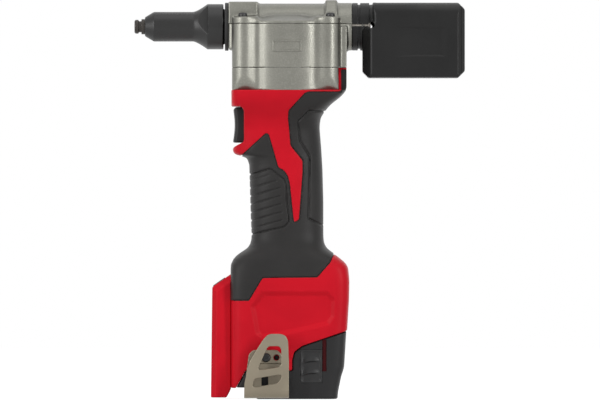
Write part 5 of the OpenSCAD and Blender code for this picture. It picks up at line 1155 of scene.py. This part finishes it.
def hookSheet(s):
    turn, bend = math.pi * s["midR"], s["bendZ"]
    plate = tableField(hookOutline(s, turn), soften=0.9)
    cuts = [tableField([(x, bend - z) for x, z in s[word]], soften=0.7) for word in ("window", "slot")]

    def field(p):
        x, along, t = p.T
        up = along - turn + bend
        d = carve(plate(x, along), *[cut(x, along) for cut in cuts])
        for (hx, hz), r in s["holes"]:
            d = np.maximum(d, r - np.hypot(x - hx, up - hz))
        (hx, hz), (hu, hv) = s["legHole"], s["legHoleHalf"]
        d = carve(d, np.maximum(np.abs(x - hx) - hu, np.abs(up - hz) - hv))
        return roundMeet(d, np.abs(t) - s["thick"] / 2, s["edge"])

    low = (s["plate"][0][0], bend - s["plateRoom"], -s["thick"] / 2)
    high = (s["plate"][-1][0], turn + s["legTop"] - bend, s["thick"] / 2)
    vertex, quads = meshField(field, low, high, s["step"])
    x, along, t = vertex.T
    centreY = hookLow[1] + s["midR"] + s["thick"] / 2
    phi = np.clip(along / s["midR"], 0, math.pi)
    r = s["midR"] + t
    z = bend - r * np.sin(phi) - np.minimum(along, 0) + np.maximum(along - turn, 0)
    jog = s["jog"] * ease(0, s["jogRun"], along - turn) * ease(0, s["jogStep"], s["jogZ"] - z)
    return np.stack([x, centreY - r * np.cos(phi) + jog, z], 1), quads[:, ::-1]


addPiece("belt-hook", hookSheet(hookShape), "hookMetal", "tool_body", "hook_metal", "belt_hook")

hookScrew = {"headR": 3.4, "headH": 2.2, "dome": 1.2, "footRound": 0.2, "shankR": 1.7, "shankIn": 0.4,
             "socket": 1.4, "socketDepth": 1.3, "step": 0.25}


def hookScrewField(p):
    s = hookScrew
    x, y, z = p.T
    low, high = span("hook_screw")
    (sx, sz), _ = hookShape["holes"][0]
    r, headY = np.hypot(x - sx, z - sz), low[1] + s["headH"]
    d = trim(r - s["headR"], (low[1] - y, s["dome"]), (y - headY, s["footRound"]))
    d = np.minimum(d, meet(r - s["shankR"], headY - s["shankIn"] - y, y - high[1]))
    return carve(d, np.maximum(hexField(x - sx, z - sz, s["socket"]), y - low[1] - s["socketDepth"]))


shape = meshField(hookScrewField, *span("hook_screw"), hookScrew["step"])
addPiece("hook-screw", shape, "blackScrew", "tool_body", "dark_screw", "hook_screw")

housingScrew = {"headR": 2.9, "headH": 2.2, "sunk": 3.0, "dome": 0.9, "footRound": 0.2, "shankR": 1.35,
                "shankIn": 0.5, "shankShare": 0.5, "socket": 1.2, "socketFloor": 0.8, "probes": 40,
                "probeFrom": 4.0, "step": 0.3}


# Place across the tool of a housing screw's seat, at the given distance under the handle's surface
def screwSeat(sx, sz, s):
    wide = np.interp(sz, handleZ, handleRows[:, 2])
    probe = np.array([[sx, y, sz] for y in np.linspace(s["probeFrom"], wide, s["probes"])])
    return np.interp(0, handleField(probe), probe[:, 1]) - s["sunk"]


def housingScrewField(p):
    s = housingScrew
    x, y, z = p.T
    d = np.full(len(p), np.inf)
    for sx, sz in baseShape["screws"]:
        face, r = screwSeat(sx, sz, s), np.hypot(x - sx, z - sz)
        head = trim(r - s["headR"], (y - face - s["headH"], s["dome"]), (face - y, s["footRound"]))
        head = carve(head, np.maximum(hexField(x - sx, z - sz, s["socket"]), face + s["socketFloor"] - y))
        shank = meet(r - s["shankR"], -s["shankShare"] * face - y, y - face - s["shankIn"])
        d = np.minimum(d, np.minimum(head, shank))
    return d


shape = meshField(housingScrewField, *span("housing_screws"), housingScrew["step"])
addPiece("housing-screws", shape, "darkScrew", "tool_body", "dark_screw", "housing_screws")

# Battery: case under the rim, two squeeze latches
packShape = {
    "edge": 1.1, "footRound": 1.4, "rimGap": 0.16, "rimGapFade": (17, 22), "toeX": -22.5, "toeZ": 8.4,
    "toeRound": 0.6, "tongue": ((-10, -26, 0), (6, 26, 33)), "tongueRound": 0.6, "stemPlay": 0.1,
    "stemRoom": 30.0, "stemRound": 3.0, "latchX": 17.0, "latchHalf": 8.0, "latchZ": 24.0, "latchUp": 12.0,
    "latchGap": 0.15, "latchIn": 22.3, "latchEdge": 0.25, "latchBack": 0.4, "latchProud": 0.05,
    "pocketRound": 0.2, "sink": 0.9, "sinkIn": 0.4, "sinkRun": 2.0, "ridges": [(16.6, 28.0), (16.0, 19.2)],
    "ridgeHalf": 7.0, "ridgeUp": 2.6, "ridgeDown": 0.8, "ridgeSlope": 0.13, "ridgeBow": 1.2, "ridgeRise": 1.6,
    "markX": (25.1, 28.2), "markZ": (20.2, 43.4), "markDepth": 1.5, "markRound": 0.3, "markPlay": 0.05,
    "markThick": 0.6, "markFrom": 15.0, "markBox": ((24, -33, 19), (29.5, 33, 45)), "markStep": 0.35,
    "latchStep": 0.4, "step": 0.7,
}
latchHigh = span("latch_left")[1]


def markRoom(x, z, under, s, inset):
    return np.maximum(np.maximum(slab(x, *s["markX"]), slab(z, *s["markZ"])) + inset, -under)


def packField(p):
    s = packShape
    x, y, z = p.T
    form = handleField(p) + baseShape["gap"]
    near = s["rimGap"] + (baseShape["gap"] - s["rimGap"]) * ease(*s["rimGapFade"], np.abs(y))
    toe = np.minimum((s["toeX"] - x - z) / root2, s["toeZ"] - z)
    d = trim(form, (rimEdge(x, z) + near, s["edge"]), (-z, s["footRound"]), (toe, s["toeRound"]))
    d = np.minimum(d, boxField(p, *s["tongue"], s["tongueRound"]))
    play = s["stemPlay"]
    d = carve(d, boxField(p, stemLow - play, stemHigh + (play, play, s["stemRoom"]), s["stemRound"]))
    pocket = meet(np.abs(x - s["latchX"]) - s["latchHalf"] - s["latchGap"],
                  np.abs(z - s["latchZ"]) - s["latchUp"] - s["latchGap"], s["latchIn"] - np.abs(y))
    mark = markRoom(x, z, form + s["markDepth"], s, 0)
    return trim(d, (-pocket, s["pocketRound"]), (-mark, s["markRound"]))


# Red strip at the bottom of the marker slot, its colour darkened as painted shade of the slot
def markField(p, side):
    s = packShape
    x, y, z = p.T
    under = handleField(p) + baseShape["gap"] + s["markDepth"]
    return meet(markRoom(x, z, under - s["markPlay"], s, s["markPlay"]), under - s["markThick"],
                s["markFrom"] - side * y)


def latchField(p, side):
    s = packShape
    x, y, z = p.T
    wide, high = np.abs(x - s["latchX"]) - s["latchHalf"], np.abs(z - s["latchZ"]) - s["latchUp"]
    dish = ease(0, s["sinkRun"], -wide - s["sinkIn"]) * ease(0, s["sinkRun"], -high - s["sinkIn"])
    d = handleField(p) + baseShape["gap"] - s["latchProud"] + s["sink"] * dish
    for ridgeX, ridgeZ in s["ridges"]:
        u = (x - ridgeX) / s["ridgeHalf"]
        v = z - ridgeZ - s["ridgeSlope"] * (x - ridgeX) + s["ridgeBow"] * u * u
        v = np.where(v > 0, v / s["ridgeUp"], v / s["ridgeDown"])
        d = d - s["ridgeRise"] * np.clip(1 - u * u, 0, 1) * np.exp(-v * v)
    back = abs(latchHigh[1]) - side * y
    return trim(d, (wide, s["latchEdge"]), (high, s["latchEdge"]), (back, s["latchBack"]))


shape = meshField(packField, *span("battery_case"), packShape["step"])
addPiece("battery-case", shape, "batteryPlastic", "battery", "battery_black", "battery_case")
for side, word in sides:
    shape = meshField(lambda p: latchField(p, side), *span("latch_" + word), packShape["latchStep"])
    addPiece("latch-" + word, shape, "latchPlastic", word + "_latch", "battery_black", "latch_" + word)
    markBox = sideBox(side, *packShape["markBox"])
    shape = meshField(lambda p: markField(p, side), *markBox, packShape["markStep"])
    addPiece("mark-strip-" + word, shape, "shadedMarkRed", "battery", "battery_black")

# Spigot that shows through the slit of the collector's neck; its metal colour is darkened as painted shade
# inside the neck
spigotShape = {"bore": 8.2, "outer": 14.6, "groove": (53.9, 55.9), "grooveR": 13.6, "rearBore": 11.0,
               "bevel": 0.4}


def spigotSection(s):
    low, high = (c[0] for c in span("rear_spigot"))
    g0, g1 = s["groove"]
    return [(low, s["bore"]), (low, s["outer"]), (g0, s["outer"]), (g0, s["grooveR"]), (g1, s["grooveR"]),
            (g1, s["outer"]), (high, s["outer"]), (high, s["rearBore"]), (headRear, s["rearBore"]),
            (headRear, s["bore"])]


shape = turned(spigotSection(spigotShape), bevel=spigotShape["bevel"])
addPiece("rear-spigot", shape, "shadedSpigotAlloy", "tool_body", "spigot_alloy", "rear_spigot")

# The rest keep their CAD shapes and take a finish by their slot
slotFinish = {
    "nose_black": "noseBlack", "seal_rubber": "greySeal", "cast_alloy": "castAlloy",
    "screw_steel": "screwSteel", "spigot_alloy": "shadedSpigotAlloy", "collector_black": "collectorPlastic",
    "ground_steel": "groundSteel", "hard_steel": "hardSteel", "spring_steel": "springSteel",
    "bearing_bronze": "bearingBronze", "gear_steel": "gearSteel", "wound_core": "woundCore",
    "motor_steel": "motorSteel", "ferrite": "ferrite", "inner_black": "innerBlack",
    "red_plastic": "redPlastic", "grip_rubber": "gripRubber",
    "dark_screw": "darkScrew", "trigger_black": "triggerPlastic", "board_green": "boardGreen",
    "hook_metal": "hookMetal",
    "battery_black": "batteryPlastic", "cell_wrap": "cellWrap",
}
for row in frame["record"]["subparts"]:
    node = frame["nodes"][row["node"]]
    finish = paint[slotFinish[row["material_slot"]]]
    if node.material_slots:
        for part in node.material_slots:
            part.material = finish
    else:
        node.data.materials.append(finish)
print("finishes set on the carried-over nodes")

# Studio: pale floor, white surround, tall soft boxes beside the camera, others above, behind and at the left
studio = {
    "floorHalf": 3000.0, "floorDrop": 0.2, "floorTone": 0.66, "floorRough": 0.9, "floorGlow": 0.45,
    "glowLevel": 2.05, "fill": 0.32, "aim": (0.0, 0.0, 0.16),
    "boxes": [("softLeft", (-1.38, -1.24, 0.72), (0.27, 1.4), 13.0),
              ("softRight", (1.28, -1.38, 0.72), (0.27, 1.4), 15.0),
              ("softTop", (0.0, -0.35, 1.85), (1.5, 1.2), 4.0),
              ("softBack", (0.0, 0.9, 1.6), (1.3, 0.3), 0.8),
              ("softEdge", (-1.95, -0.75, 0.6), (0.3, 0.9), 2.5)],
}


def seenRays(tree):
    path = newNode(tree, "ShaderNodeLightPath").outputs
    both = mathNode(tree, "ADD", path["Is Camera Ray"], path["Is Glossy Ray"])
    total = mathNode(tree, "ADD", both, path["Is Transmission Ray"])
    return mathNode(tree, "MINIMUM", total, 1.0)


def makeFloor(s):
    material = bpy.data.materials.new("paleFloor")
    material.use_nodes = True
    tree = material.node_tree
    shader = tree.nodes["Principled BSDF"]
    shader.inputs["Base Color"].default_value = (*[s["floorTone"]] * 3, 1)
    shader.inputs["Roughness"].default_value = s["floorRough"]
    shader.inputs["Specular IOR Level"].default_value = 0.0
    glow = newNode(tree, "ShaderNodeEmission")
    glow.inputs["Strength"].default_value = s["glowLevel"]
    blend = newNode(tree, "ShaderNodeMixShader")
    link(tree, mathNode(tree, "MULTIPLY", seenRays(tree), s["floorGlow"]), blend.inputs[0])
    link(tree, shader.outputs[0], blend.inputs[1])
    link(tree, glow.outputs[0], blend.inputs[2])
    link(tree, blend.outputs[0], tree.nodes["Material Output"].inputs["Surface"])
    h, z = s["floorHalf"], -s["floorDrop"]
    floor = newObject("floor", [(-h, -h, z), (h, -h, z), (h, h, z), (-h, h, z)], [(0, 1, 2, 3)], material)


def makeWorld(s):
    world = bpy.data.worlds.new("whiteSurround")
    bpy.context.scene.world = world
    world.use_nodes = True
    tree = world.node_tree
    back = tree.nodes["Background"]
    back.inputs["Color"].default_value = (1, 1, 1, 1)
    gain = mathNode(tree, "MULTIPLY", seenRays(tree), 1 - s["fill"])
    link(tree, mathNode(tree, "ADD", gain, s["fill"]), back.inputs["Strength"])


def makeLights(s):
    for name, place, size, power in s["boxes"]:
        data = bpy.data.lights.new(name, "AREA")
        data.shape = "RECTANGLE"
        data.size, data.size_y = size
        data.energy = power
        lamp = bpy.data.objects.new(name, data)
        lamp.location = place
        lamp.rotation_euler = (Vector(s["aim"]) - Vector(place)).to_track_quat("-Z", "Y").to_euler()
        bpy.context.scene.collection.objects.link(lamp)


makeFloor(studio)
makeWorld(studio)
makeLights(studio)
print("studio made")
